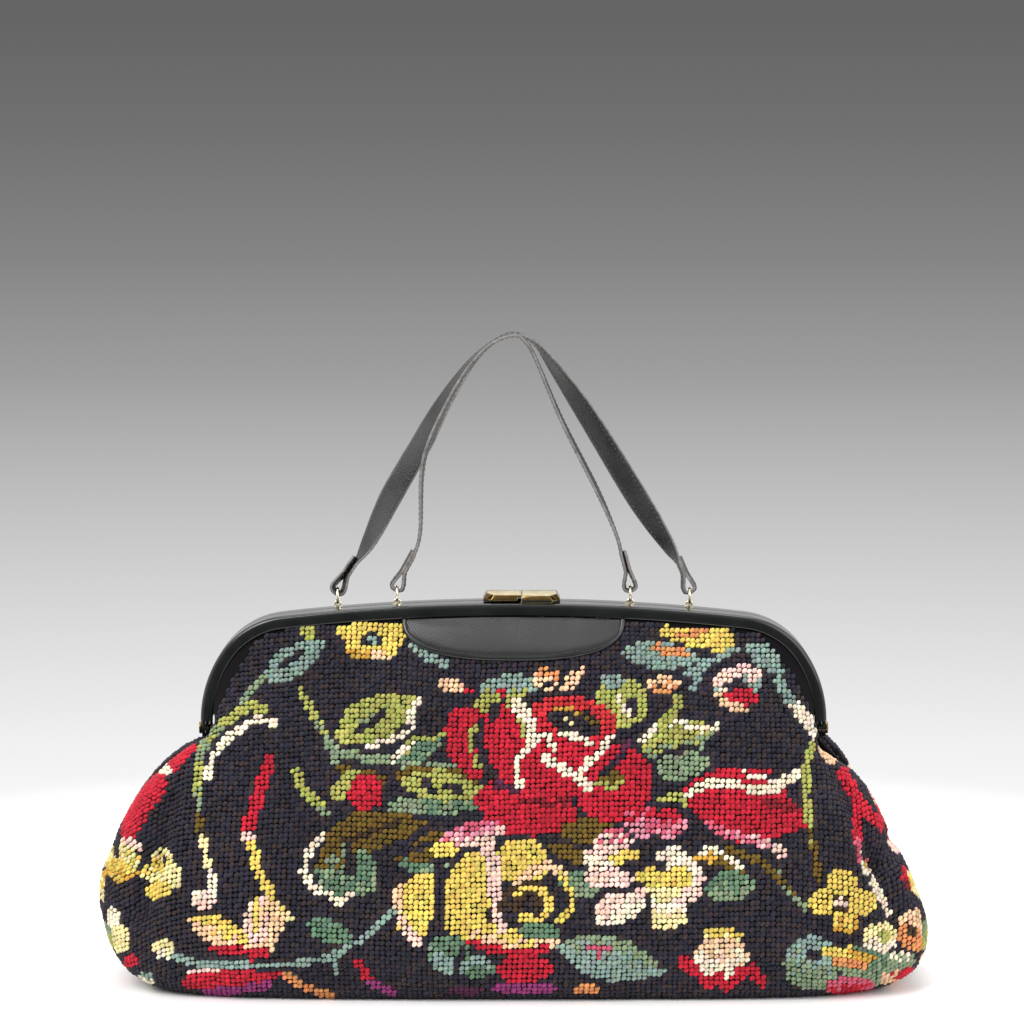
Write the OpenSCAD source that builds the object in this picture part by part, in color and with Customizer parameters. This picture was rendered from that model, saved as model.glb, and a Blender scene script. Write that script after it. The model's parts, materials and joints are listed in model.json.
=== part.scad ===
// Needlepoint carpet bag on a hinged frame, with two strap handles and a crossover clasp.
// Lengths are millimetres, angles degrees. X runs along the bag, -Y is its front, Z is up.

/* [Bag body] */
// Widest measure of the cloth body
bag_width = 412; // [320:1:520]
// Greatest depth of the cloth body, front to back
bag_depth = 124; // [90:1:170]
// Thickness of the stitched canvas
cloth_thickness = 1.8; // [1.2:0.1:3]
// Thickness of the stitched canvas where it bends at the hinge line
rim_thickness = 0.7; // [0.5:0.1:1.2]
// Thickness of the lining cloth
lining_thickness = 0.6; // [0.4:0.1:1]
// Thickness of the stiff board in the base
board_thickness = 2.4; // [1.5:0.1:4]
// Squareness of the body seen from above
corner_power = 5.5; // [3:0.5:8]

/* [Frame] */
// Width over both legs of the frame
frame_width = 312; // [240:1:400]
// Height of the frame's top above the table
frame_top = 191; // [140:1:240]
// Radius of the gently arched top rail
top_radius = 1030; // [700:10:1600]
// Radius of the shoulder
shoulder_radius = 42; // [30:1:60]
// Radius of the leg
leg_radius = 62; // [40:1:90]
// Turn of the path where shoulder becomes leg
shoulder_turn = 57; // [45:1:70]
// Depth of one half of the frame
frame_depth = 12; // [9:0.5:16]
// Height of the frame's front face
frame_face = 8.2; // [6:0.2:12]
// Wall of the frame
frame_wall = 1.6; // [1.2:0.1:2.4]
// Width of the channel that clamps the cloth
channel_gap = 3; // [2.6:0.1:4]
// Space between the two halves when shut
half_gap = 0.8; // [0.6:0.1:1.6]

/* [Hinge] */
// Distance of the hinge line below the end of the legs
hinge_drop = 5; // [4.6:0.1:8]
// Radius of a hinge ear
ear_radius = 4.5; // [3.5:0.1:6]
// Diameter of a hinge rivet
rivet_diameter = 3; // [2:0.1:4]
// Diameter of a rivet's head
rivet_head_diameter = 6; // [5:0.1:8]

/* [Clasp] */
// Length of one clasp plate along the frame
clasp_length = 19; // [14:0.5:26]
// Height of the clasp above the frame
clasp_height = 5.4; // [4:0.2:8]
// Sheet thickness of the clasp
clasp_wall = 1.2; // [0.8:0.1:2]
// Reach of a plate over the other half
clasp_reach = 10; // [7:0.5:11]
// Cut across a plate's outer corner
clasp_cut = 4; // [2:0.5:6]

/* [Handles] */
// Distance between the front handle's rings
front_span = 116; // [90:1:150]
// Distance between the rear handle's rings
rear_span = 176; // [130:1:220]
// Height of the handles above the frame
handle_rise = 133; // [100:1:180]
// Width of a strap
strap_width = 14.6; // [10:0.2:20]
// Width of a strap where it passes its ring
strap_end_width = 4.6; // [3.6:0.2:4.8]
// Thickness of a strap
strap_thickness = 1.7; // [1.4:0.1:2.2]
// Mean radius of a ring
ring_radius = 4; // [3.6:0.1:5]
// Wire diameter of a ring
ring_wire = 1.4; // [1:0.1:1.8]

/* [Leather patch] */
// Width of the half-moon patch below the frame
patch_width = 111; // [80:1:150]
// Height of the half-moon patch
patch_height = 21; // [14:0.5:30]
// Thickness of the patch
patch_thickness = 1.8; // [1.2:0.1:3]
// Diameter of the piping round the patch
piping_diameter = 2.8; // [2:0.1:4]

/* [Hidden] */
$fn = 48;

// Colours
needlepoint = [0.14, 0.12, 0.16];
lining_cloth = [0.25, 0.16, 0.13];
board = [0.55, 0.46, 0.34];
black_frame = [0.06, 0.06, 0.06];
black_leather = [0.10, 0.10, 0.11];
brass = [0.78, 0.63, 0.30];
pale_gold = [0.80, 0.74, 0.58];

// Clearances
soft_gap = 0.3;
slide_gap = 0.3;
pin_gap = 0.05;
half = 0.5;

// Frame outline: arched top rail, shoulder arc and leg arc, tangent to each other
shoulder_share = sin(shoulder_turn);
top_turn = asin((frame_width * half - shoulder_radius * shoulder_share
    - leg_radius * (1 - shoulder_share)) / (top_radius - shoulder_radius));
top_center = [0, frame_top - top_radius];
shoulder_center = top_center + (top_radius - shoulder_radius) * [sin(top_turn), cos(top_turn)];
leg_center = shoulder_center
    + (shoulder_radius - leg_radius) * [sin(shoulder_turn), cos(shoulder_turn)];
leg_end = leg_center[1];
hinge_z = leg_end - hinge_drop;

// A point on the leg and shoulder, from the leg's end (q = 0) to the top rail (q = 1)
function frame_turn(q) = 90 - q * (90 - top_turn);
function frame_point(q, inset) =
    let (turn = frame_turn(q), direction = [sin(turn), cos(turn)])
    turn > shoulder_turn ? leg_center + (leg_radius - inset) * direction
        : shoulder_center + (shoulder_radius - inset) * direction;

// Height of the top rail's underside at a place along the bag
function rail_height(x, inset) = top_center[1] + sqrt(pow(top_radius - inset, 2) - x * x);

// Body shape: shares of half the width and half the depth at shares of the hinge height
body_height_shares = [0, 0.03, 0.07, 0.13, 0.2, 0.28, 0.37, 0.47, 0.57, 0.67, 0.76, 0.85, 0.93, 1];
left_width_shares = [
    0.845, 0.893, 0.93, 0.96, 0.98, 0.992, 1, 0.99, 0.965, 0.935, 0.9, 0.855, 0.805, 0.757
];
right_width_shares = [
    0.87, 0.925, 0.965, 0.99, 1, 0.995, 0.975, 0.95, 0.92, 0.89, 0.86, 0.825, 0.79, 0.757
];
depth_shares = [0.74, 0.84, 0.91, 0.96, 0.99, 1, 0.985, 0.95, 0.9, 0.84, 0.78, 0.72, 0.665, 0.615];
rows = len(body_height_shares);

function table(shares, s) = lookup(s, [for (i = [0:rows - 1]) [body_height_shares[i], shares[i]]]);
function half_width(side, s) =
    bag_width * half * table(side < 0 ? left_width_shares : right_width_shares, s);
function half_depth(s) = bag_depth * half * table(depth_shares, s);
function bend(v, power) = pow(max(0, 1 - pow(abs(v), power)), 1 / power);

// Seam between front and gusset lies on the rounded corner
seam_share = pow(half, 1 / corner_power);
seam_gap_share = 0.0012;
panel_columns = 28;
gusset_columns = 12;

// Thickness tapers to the rim, where the cloth bends
taper_share = 0.1;
function cloth_at(s) = rim_thickness
    + (cloth_thickness - rim_thickness) * min(1, (1 - s) / taper_share);

// A point of the front or rear (face = -1 or 1): f runs across, s up
function face_point(face, f, s, inset) =
    let (x_share = f * (seam_share - seam_gap_share), wide = half_width(f, s) - inset,
        deep = half_depth(s) - inset)
    [x_share * wide, face * deep * bend(x_share, corner_power), s * hinge_z];

// A point of a gusset (side = -1 or 1): its rim dips below the hinge
dip_share = 0.1;
function rim_share(f) = 1 - dip_share * pow(cos(90 * min(1, abs(f) * 1.5)), 2);
function side_point(side, f, level, inset) =
    let (y_share = f * (seam_share - seam_gap_share), wide = half_width(side, level) - inset,
        deep = half_depth(level) - inset)
    [side * wide * bend(y_share, corner_power), y_share * deep, level * hinge_z];

// Half section of the throat, as unit points from one leg to the other
throat_columns = 18;
throat_end_shares = [0, 0.3, 0.6, 0.8];
unit_section = concat(
    [for (v = throat_end_shares) [-bend(v, corner_power), v]],
    [for (i = [0:throat_columns]) let (u = seam_share * (2 * i / throat_columns - 1))
        [u, bend(u, corner_power)]],
    [for (i = [len(throat_end_shares) - 1:-1:0])
        [bend(throat_end_shares[i], corner_power), throat_end_shares[i]]]
);

// Cloth clamped in the channel, and the throat's slope from the hinge line to the frame
throat_face = frame_depth - frame_wall - half * slide_gap;
throat_inset = frame_face + 1.6 * slide_gap;
flange_inset = frame_wall + 6 * slide_gap;
throat_foot = bag_depth * half * depth_shares[rows - 1] - rim_thickness - slide_gap;
throat_power = 1.15;
throat_rows = 7;

// Distance from the middle plane of the throat's outside at a place on the front
function throat_depth(x, z) =
    let (level = (z - hinge_z) / (rail_height(x, throat_inset) - hinge_z))
    throat_face + (throat_foot - throat_face) * (1 - pow(max(0, min(1, level)), throat_power));

// One row of the throat: edge point, rise of its middle and whether it is in the channel
function throat_row(k, columns_inset, deep_inset) =
    let (
        foot = [frame_width * half - throat_inset, hinge_z + slide_gap],
        tucked = k > throat_rows,
        edge = k == 0 ? foot : frame_point(min(1, (k - 1) / (throat_rows - 1)),
            tucked ? flange_inset : throat_inset),
        inset = tucked ? flange_inset : throat_inset,
        rise_share = pow(min(1, k / throat_rows), 2),
        rail_end = frame_point(1, throat_inset)[0]
    )
    concat(
        [throat_flange_point(-1, k, deep_inset)],
        [for (p = unit_section)
            let (
                x = p[0] * (tucked ? rail_end : edge[0] - columns_inset * (1 - pow(p[1], 2))),
                z = tucked ? rail_height(x, inset)
                    : edge[1] + rise_share * (rail_height(x, inset) - rail_height(edge[0], inset)),
                deep = tucked ? throat_face : throat_face + (throat_depth(x, z) - throat_face) * p[1]
            )
            [x, deep_inset - deep, z]],
        [throat_flange_point(1, k, deep_inset)]
    );
function throat_flange_point(side, k, deep_inset) =
    let (
        corner = frame_point(1, flange_inset),
        rail_end = frame_point(1, throat_inset)[0],
        edge = k == 0 ? [frame_width * half - flange_inset, hinge_z + slide_gap]
            : k > throat_rows ? [half * (corner[0] + rail_end), corner[1] + slide_gap]
            : frame_point((k - 1) / (throat_rows - 1), flange_inset)
    )
    [side * edge[0], deep_inset - throat_face, edge[1]];

// Closed solid between two grids of points
function flat_list(grid) = [for (row = grid) for (p = row) p];
module sheet_solid(outer, inner) {
    r = len(outer);
    c = len(outer[0]);
    n = r * c;
    faces = concat(
        [for (i = [0:r - 2]) for (j = [0:c - 2]) [i * c + j, (i + 1) * c + j, (i + 1) * c + j + 1]],
        [for (i = [0:r - 2]) for (j = [0:c - 2]) [i * c + j, (i + 1) * c + j + 1, i * c + j + 1]],
        [for (i = [0:r - 2]) for (j = [0:c - 2])
            [n + i * c + j, n + (i + 1) * c + j + 1, n + (i + 1) * c + j]],
        [for (i = [0:r - 2]) for (j = [0:c - 2])
            [n + i * c + j, n + i * c + j + 1, n + (i + 1) * c + j + 1]],
        [for (j = [0:c - 2]) [j, j + 1, n + j + 1]],
        [for (j = [0:c - 2]) [j, n + j + 1, n + j]],
        [for (j = [0:c - 2]) let (t = (r - 1) * c + j) [t + 1, t, n + t]],
        [for (j = [0:c - 2]) let (t = (r - 1) * c + j) [t + 1, n + t, n + t + 1]],
        [for (i = [0:r - 2]) [(i + 1) * c, i * c, n + i * c]],
        [for (i = [0:r - 2]) [(i + 1) * c, n + i * c, n + (i + 1) * c]],
        [for (i = [0:r - 2]) let (e = i * c + c - 1) [e, e + c, n + e + c]],
        [for (i = [0:r - 2]) let (e = i * c + c - 1) [e, n + e + c, n + e]]
    );
    polyhedron(points = concat(flat_list(outer), flat_list(inner)), faces = faces, convexity = 8);
}

// Closed tub between two stacks of rings, each with a flat floor
module tub_solid(outer, inner) {
    r = len(outer);
    c = len(outer[0]);
    n = r * c;
    faces = concat(
        [for (i = [0:r - 2]) for (j = [0:c - 1]) let (k = (j + 1) % c)
            [i * c + j, (i + 1) * c + j, (i + 1) * c + k]],
        [for (i = [0:r - 2]) for (j = [0:c - 1]) let (k = (j + 1) % c)
            [i * c + j, (i + 1) * c + k, i * c + k]],
        [for (i = [0:r - 2]) for (j = [0:c - 1]) let (k = (j + 1) % c)
            [n + i * c + j, n + (i + 1) * c + k, n + (i + 1) * c + j]],
        [for (i = [0:r - 2]) for (j = [0:c - 1]) let (k = (j + 1) % c)
            [n + i * c + j, n + i * c + k, n + (i + 1) * c + k]],
        [for (j = [0:c - 1]) let (t = (r - 1) * c, k = (j + 1) % c) [t + k, t + j, n + t + j]],
        [for (j = [0:c - 1]) let (t = (r - 1) * c, k = (j + 1) % c) [t + k, n + t + j, n + t + k]],
        [[for (j = [0:c - 1]) j]],
        [[for (j = [c - 1:-1:0]) n + j]]
    );
    polyhedron(points = concat(flat_list(outer), flat_list(inner)), faces = faces, convexity = 8);
}

// Closed bar swept through a list of equal rings
module swept_solid(rings) {
    r = len(rings);
    c = len(rings[0]);
    faces = concat(
        [for (i = [0:r - 2]) for (j = [0:c - 1]) let (k = (j + 1) % c)
            [i * c + j, (i + 1) * c + j, (i + 1) * c + k]],
        [for (i = [0:r - 2]) for (j = [0:c - 1]) let (k = (j + 1) % c)
            [i * c + j, (i + 1) * c + k, i * c + k]],
        [[for (j = [0:c - 1]) j]],
        [[for (j = [c - 1:-1:0]) (r - 1) * c + j]]
    );
    polyhedron(points = flat_list(rings), faces = faces, convexity = 8);
}

// Cloth body
module face_panel(face) {
    columns = [for (j = [0:panel_columns]) (2 * j / panel_columns - 1) * -face];
    outer = [for (s = body_height_shares) [for (f = columns) face_point(face, f, s, 0)]];
    inner = [for (s = body_height_shares) [for (f = columns) face_point(face, f, s, cloth_at(s))]];
    sheet_solid(outer, inner);
}

module gusset(side) {
    columns = [for (j = [0:gusset_columns]) (2 * j / gusset_columns - 1) * side];
    outer = [for (s = body_height_shares) [for (f = columns) side_point(side, f, s * rim_share(f), 0)]];
    inner = [for (s = body_height_shares)
        [for (f = columns) side_point(side, f, s * rim_share(f), cloth_at(s))]];
    sheet_solid(outer, inner);
}

module front_panel() {
    color(needlepoint) face_panel(-1);
}

module rear_panel() {
    color(needlepoint) face_panel(1);
}

module left_gusset() {
    color(needlepoint) gusset(-1);
}

module right_gusset() {
    color(needlepoint) gusset(1);
}

// Outline of the body at a level, all the way round
ring_columns = 16;
ring_sides = 8;
function body_ring(s, inset, z) = concat(
    [for (j = [0:ring_columns - 1]) let (p = face_point(-1, 2 * j / ring_columns - 1, s, inset))
        [p[0], p[1], z]],
    [for (j = [0:ring_sides - 1]) let (p = side_point(1, 2 * j / ring_sides - 1, s, inset))
        [p[0], p[1], z]],
    [for (j = [0:ring_columns - 1]) let (p = face_point(1, 1 - 2 * j / ring_columns, s, inset))
        [p[0], p[1], z]],
    [for (j = [0:ring_sides - 1]) let (p = side_point(-1, 1 - 2 * j / ring_sides, s, inset))
        [p[0], p[1], z]]
);

module base_panel() {
    inset = cloth_thickness + soft_gap;
    outline = [for (p = body_ring(0, inset, 0)) [p[0], p[1]]];
    color(needlepoint) linear_extrude(cloth_thickness) polygon(outline);
}

board_base = cloth_thickness + soft_gap;
board_inset = 3 * cloth_thickness;
module base_board() {
    outline = [for (p = body_ring(0, board_inset, 0)) [p[0], p[1]]];
    color(board) translate([0, 0, board_base]) linear_extrude(board_thickness) polygon(outline);
}

lining_floor = board_base + board_thickness + soft_gap;
lining_inset = cloth_thickness + 2 * soft_gap;
lining_foot_share = lining_floor / hinge_z;
lining_rim_share = 0.86;
lining_rows = 6;
module lining() {
    levels = [for (i = [0:lining_rows])
        lining_foot_share + (lining_rim_share - lining_foot_share) * pow(i / lining_rows, 1.3)];
    outer = [for (i = [0:lining_rows]) body_ring(levels[i], lining_inset, levels[i] * hinge_z)];
    inner = [for (i = [0:lining_rows]) body_ring(levels[i], lining_inset + lining_thickness,
        levels[i] * hinge_z + (i == 0 ? lining_thickness : 0))];
    color(lining_cloth) tub_solid(outer, inner);
}

// Throat: the top of the front and rear cloth, clamped in the frame and moving with it
module throat(inset, thickness) {
    outer = [for (k = [0:throat_rows + 1]) throat_row(k, inset, inset)];
    inner = [for (k = [0:throat_rows + 1]) throat_row(k, inset + thickness, inset + thickness)];
    sheet_solid(outer, inner);
}

lining_gap = half * soft_gap;
module front_throat() {
    color(needlepoint) throat(0, cloth_thickness);
}

module front_throat_lining() {
    color(lining_cloth) throat(cloth_thickness + lining_gap, lining_thickness);
}

module rear_throat() {
    color(needlepoint) mirror([0, 1, 0]) throat(0, cloth_thickness);
}

module rear_throat_lining() {
    color(lining_cloth) mirror([0, 1, 0]) throat(cloth_thickness + lining_gap, lining_thickness);
}

// Frame half: a bent channel of web, face and clamping lip, each cut along the frame's path
lip_front = frame_depth - frame_wall - channel_gap;
lip_reach = frame_face - frame_wall;
edge_step = half * frame_wall;
path_turns = 14;
rail_steps = 12;
function rail_point(u, inset) =
    top_center + (top_radius - inset) * [sin(u * top_turn), cos(u * top_turn)];
function frame_path(inset) = concat(
    [for (i = [0:path_turns]) let (p = frame_point(i / path_turns, inset)) [-p[0], p[1]]],
    [for (i = [1:rail_steps - 1]) rail_point(2 * i / rail_steps - 1, inset)],
    [for (i = [path_turns:-1:0]) frame_point(i / path_turns, inset)]
);
module path_band(outside, inside, back, front) {
    outer = frame_path(outside);
    inner = frame_path(inside);
    translate([0, -back, 0])
        rotate([90, 0, 0])
            linear_extrude(front - back)
                polygon(concat(outer, [for (i = [len(inner) - 1:-1:0]) inner[i]]));
}

module frame_arcs() {
    path_band(0, frame_wall, half * half_gap, frame_depth - edge_step);
    path_band(edge_step, frame_face, frame_depth - frame_wall, frame_depth);
    path_band(edge_step, lip_reach, lip_front - edge_step, lip_front);
}

// Ears: the front half's lie outside, the rear half's inside
ear_tongue = half * frame_depth;
outer_ear = frame_width * half - frame_wall;
inner_ear = outer_ear - slide_gap - frame_wall;
rivet_bore = rivet_diameter + 2 * pin_gap;

module ear_disc(place, radius, thickness) {
    translate([place, 0, hinge_z]) rotate([0, 90, 0]) cylinder(r = radius, h = thickness);
}

module front_ear() {
    half_start = half * half_gap;
    ear_disc(outer_ear, ear_radius, frame_wall);
    translate([outer_ear, -ear_tongue, hinge_z])
        cube([frame_wall, ear_tongue - half_start, hinge_drop + frame_wall]);
}

module rear_ear() {
    half_start = half * half_gap;
    lap = hinge_drop + 2 * frame_wall;
    ear_disc(inner_ear, ear_radius, frame_wall);
    translate([inner_ear, half_start, hinge_z]) cube([frame_wall, ear_tongue - half_start, lap]);
    translate([inner_ear, half_start, leg_end + slide_gap])
        cube([2 * frame_wall, ear_tongue - half_start, 2 * frame_wall - slide_gap]);
}

module ear_bores() {
    reach = 4 * frame_wall;
    translate([inner_ear - frame_wall, 0, hinge_z])
        rotate([0, 90, 0])
            cylinder(d = rivet_bore, h = reach);
}

// Ring posts stand square on each half's top, their eyes a set height above it
post_share = 0.35;
post_y = post_share * frame_depth;
post_shank = 2;
post_fit = 0.02;
post_flange = 5;
flange_height = 0.6;
eye_play = 0.25;
eye_hole = ring_wire * half + eye_play;
eye_wire = 1;
eye_height = flange_height + eye_hole;
eye_orbit = top_radius + post_fit + eye_height;
function eye_level(span) = top_center[1] + sqrt(pow(eye_orbit, 2) - pow(half * span, 2));

module at_posts(span, side) {
    for (x = [-half, half] * span)
        translate([x, side * post_y, eye_level(span)])
            rotate([0, asin(x / eye_orbit), 0])
                translate([0, 0, -eye_height])
                    children();
}

module post_bores(span, side) {
    at_posts(span, side)
        translate([0, 0, -2 * frame_wall]) cylinder(d = post_shank + 2 * post_fit, h = 4 * frame_wall);
}

module front_frame() {
    color(black_frame)
        difference() {
            union() {
                frame_arcs();
                for (flip = [0, 1])
                    mirror([flip, 0, 0]) front_ear();
            }
            for (flip = [0, 1])
                mirror([flip, 0, 0]) ear_bores();
            post_bores(front_span, -1);
        }
}

module rear_frame() {
    color(black_frame)
        difference() {
            union() {
                mirror([0, 1, 0]) frame_arcs();
                for (flip = [0, 1])
                    mirror([flip, 0, 0]) rear_ear();
            }
            for (flip = [0, 1])
                mirror([flip, 0, 0]) ear_bores();
            post_bores(rear_span, 1);
        }
}

rivet_head = 1.3;
module hinge_rivets() {
    span = 2 * frame_wall + 3 * slide_gap;
    start = inner_ear - slide_gap;
    color(brass)
        for (flip = [0, 1])
            mirror([flip, 0, 0])
                translate([start, 0, hinge_z])
                    rotate([0, 90, 0]) {
                        translate([0, 0, -rivet_head]) cylinder(d = rivet_head_diameter, h = rivet_head);
                        cylinder(d = rivet_diameter, h = span);
                        translate([0, 0, span]) cylinder(d = rivet_head_diameter, h = rivet_head);
                    }
}

// Clasp: two caps side by side, each standing on its own half and reaching over the other
clasp_shift = 4;
clasp_gap = 0.4;
clasp_lift = 1;
module clasp_outline(inset) {
    back = clasp_reach - inset;
    front = -frame_depth + inset + half * clasp_wall;
    far = clasp_length - inset;
    cut = clasp_cut - half * inset;
    polygon([[0, front], [far - cut, front], [far, front + cut], [far, back - cut], [far - cut, back],
        [0, back]]);
}

module clasp_cap() {
    skirt = clasp_height - clasp_wall;
    difference() {
        linear_extrude(clasp_height) clasp_outline(0);
        translate([0, 0, -half * clasp_wall]) linear_extrude(skirt + half * clasp_wall)
            clasp_outline(clasp_wall);
        translate([-half * clasp_wall, -frame_depth + 2 * clasp_wall, -half * clasp_wall])
            cube([2 * clasp_wall, 2 * frame_depth, skirt + half * clasp_wall]);
        translate([-clasp_length, -half_gap, -half * clasp_wall])
            cube([3 * clasp_length, 2 * frame_depth, clasp_lift + half * clasp_wall]);
    }
}

module front_clasp_plate() {
    color(brass) translate([clasp_shift + half * clasp_gap, 0, frame_top]) clasp_cap();
}

module rear_clasp_plate() {
    color(brass)
        translate([clasp_shift - half * clasp_gap, 0, frame_top]) rotate([0, 0, 180]) clasp_cap();
}

// Ring posts: flange, eye and a shank headed over below the frame's top
shank_tail = 0.8;
module ring_post() {
    shank_depth = frame_wall + shank_tail;
    difference() {
        union() {
            cylinder(d = post_flange, h = flange_height);
            translate([0, 0, eye_height]) rotate([90, 0, 0])
                rotate_extrude() translate([eye_hole + half * eye_wire, 0]) circle(d = eye_wire, $fn = 24);
        }
        translate([0, post_flange, eye_height]) rotate([90, 0, 0])
            cylinder(r = eye_hole, h = 2 * post_flange);
        translate([0, 0, -post_flange]) cylinder(d = 2 * post_flange, h = post_flange);
    }
    translate([0, 0, -shank_depth]) cylinder(d = post_shank, h = shank_depth);
    translate([0, 0, -shank_depth - shank_tail]) cylinder(d = 1.6 * post_shank, h = shank_tail);
}

module front_ring_posts() {
    color(pale_gold) at_posts(front_span, -1) ring_post();
}

module rear_ring_posts() {
    color(pale_gold) at_posts(rear_span, 1) ring_post();
}

// Rings turn about their own middles, sliding through the eyes
function ring_middle(span) = eye_level(span) + ring_radius;
module handle_rings(span, side) {
    color(pale_gold)
        for (x = [-half, half] * span)
            translate([x, side * post_y, ring_middle(span)]) rotate([0, 90, 0])
                rotate_extrude() translate([ring_radius, 0]) circle(d = ring_wire, $fn = 24);
}

module front_rings() {
    handle_rings(front_span, -1);
}

module rear_rings() {
    handle_rings(rear_span, 1);
}

// Straps: rows of [share of half the span, share of the rise, turn as a share of a right angle,
// share of the strap's width]
front_strap_shares = [
    [-0.86, 0.13, 0, 0.55], [-0.8, 0.23, 0, 0.8], [-0.785, 0.45, 0.04, 1], [-0.73, 0.57, 0.07, 1],
    [-0.57, 0.73, 0.07, 1], [-0.39, 0.87, 0.04, 1], [-0.2, 0.965, 0, 1], [0, 1, 0, 1],
    [0.1, 0.975, 0, 1], [0.19, 0.905, 0, 1], [0.41, 0.67, -0.04, 1], [0.72, 0.39, -0.07, 1],
    [0.88, 0.22, 0, 0.8], [0.93, 0.13, 0, 0.55]
];
rear_strap_shares = [
    [-0.9, 0.11, 0.11, 0.55], [-0.82, 0.2, 0.56, 0.8], [-0.69, 0.38, 0.8, 1], [-0.52, 0.58, 0.71, 1],
    [-0.4, 0.73, 0.44, 1], [-0.25, 0.88, 0.18, 1], [-0.12, 0.965, 0, 1], [0, 1, 0, 1],
    [0.12, 0.965, -0.09, 1], [0.22, 0.88, -0.29, 1], [0.42, 0.68, -0.62, 1], [0.7, 0.37, -0.8, 1],
    [0.88, 0.18, -0.51, 0.8], [0.94, 0.11, -0.11, 0.55]
];

function cubic(p, q, r, s, t) = half * (2 * q + (r - p) * t + (2 * p - 5 * q + 4 * r - s) * t * t
    + (3 * q - p - 3 * r + s) * t * t * t);
path_steps = 4;
function smooth_path(list) = let (last = len(list) - 1) concat(
    [for (i = [0:last - 1]) for (k = [0:path_steps - 1])
        cubic(list[max(0, i - 1)], list[i], list[i + 1], list[min(last, i + 2)], k / path_steps)],
    [list[last]]
);

// Loop at a strap's end, round the top wire of its ring
function unit(v) = v / norm(v);
loop_play = 0.75;
loop_radius = half * ring_wire + half * strap_thickness + loop_play;
loop_steps = 6;
layer_gap = 0.12;
strap_layer = strap_thickness + layer_gap;
tab_rise = 2;

// Mean height of the wire over the strap's width, and of the strap's middle below it
function wire_middle(span) = ring_middle(span)
    + half * (ring_radius + sqrt(pow(ring_radius, 2) - pow(half * strap_end_width, 2)));
function loop_low(span) = wire_middle(span) - loop_radius;

// Stations of a whole strap: [place, direction across the thickness, turn, width]
function strap_stations(span, list) =
    let (
        low = loop_low(span),
        rise = frame_top + handle_rise - low,
        run = [for (p = smooth_path(list)) [p[0] * half * span, low + p[1] * rise, p[2], p[3]]]
    )
    concat(end_loop(span, run, -1), run, end_loop(span, [for (i = [len(run) - 1:-1:0]) run[i]], 1));

// The end runs down beside the wire, round under it and up again to the tab's end
function end_loop(span, run, side) =
    let (
        wire = [side * half * span, wire_middle(span)],
        start = [run[0][0], run[0][1]],
        away = unit(start - wire),
        across = [away[1], -away[0]] * side,
        end_share = strap_end_width / strap_width,
        top_share = run[0][3],
        down = [for (k = [1:loop_steps])
            let (t = k / loop_steps, q = start * (1 - t) + (wire - across * loop_radius) * t)
            [q[0], q[1], run[0][2] * (1 - t), top_share + (end_share - top_share) * t]],
        under = [for (k = [1:loop_steps - 1])
            let (turn = 180 * k / loop_steps)
            let (q = wire - loop_radius * (across * cos(turn) + away * sin(turn)))
            [q[0], q[1], 0, end_share]],
        tab_end = start + across * strap_layer + away * tab_rise,
        up = [for (k = [0:loop_steps])
            let (t = k / loop_steps, q = (wire + across * loop_radius) * (1 - t) + tab_end * t)
            [q[0], q[1], run[0][2] * t, end_share + (top_share - end_share) * t]],
        loop = concat(down, under, up)
    )
    side < 0 ? [for (i = [len(loop) - 1:-1:0]) loop[i]] : loop;

// Straps stay on their own side of the middle plane
strap_clear = 0.4;
module strap(span, list, side) {
    stations = strap_stations(span, list);
    count = len(stations);
    rings = [for (i = [0:count - 1])
        let (
            here = stations[i],
            before = stations[max(0, i - 1)],
            after = stations[min(count - 1, i + 1)],
            along = unit([after[0] - before[0], 0, after[1] - before[1]]),
            flat_normal = [-along[2], 0, along[0]],
            turn = 90 * here[2] * side,
            wide_way = [0, 1, 0] * cos(turn) + flat_normal * sin(turn),
            thin_way = flat_normal * cos(turn) - [0, 1, 0] * sin(turn),
            w = half * strap_width * here[3] * wide_way,
            t = half * strap_thickness * thin_way,
            reach = half * strap_width + strap_clear,
            share = max(0, min(1, (here[1] - loop_low(span)) / (half * handle_rise))),
            y = side * (post_y + max(0, reach - post_y) * share * (2 - share)),
            middle = [here[0], y, here[1]]
        )
        [middle - w - t, middle + w - t, middle + w + t, middle - w + t]];
    color(black_leather) swept_solid(rings);
}

module front_strap() {
    strap(front_span, front_strap_shares, -1);
}

module rear_strap() {
    strap(rear_span, rear_strap_shares, 1);
}

// Half-moon patch and its piping, lying on the front throat
patch_power = 2.4;
patch_rows = 7;
patch_columns = 14;
patch_top_inset = frame_face + slide_gap;
function moon_half(d) = half * patch_width * bend(d, patch_power);
function on_throat(x, drop, lift) =
    let (z = rail_height(x, patch_top_inset) - drop)
    [x, -throat_depth(x, z) - lift, z];
function moon_point(f, d, lift) =
    on_throat(f * (moon_half(d) - piping_diameter - soft_gap), d * (patch_height - piping_diameter), lift);

moon_tip_share = 0.99;
module half_moon_patch() {
    levels = [for (i = [0:patch_rows]) moon_tip_share * (1 - pow(i / patch_rows, 1.5))];
    columns = [for (j = [0:patch_columns]) 2 * j / patch_columns - 1];
    lift = half * soft_gap;
    outer = [for (d = levels) [for (f = columns) moon_point(f, d, lift + patch_thickness)]];
    inner = [for (d = levels) [for (f = columns) moon_point(f, d, lift)]];
    color(black_leather) sheet_solid(outer, inner);
}

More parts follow.
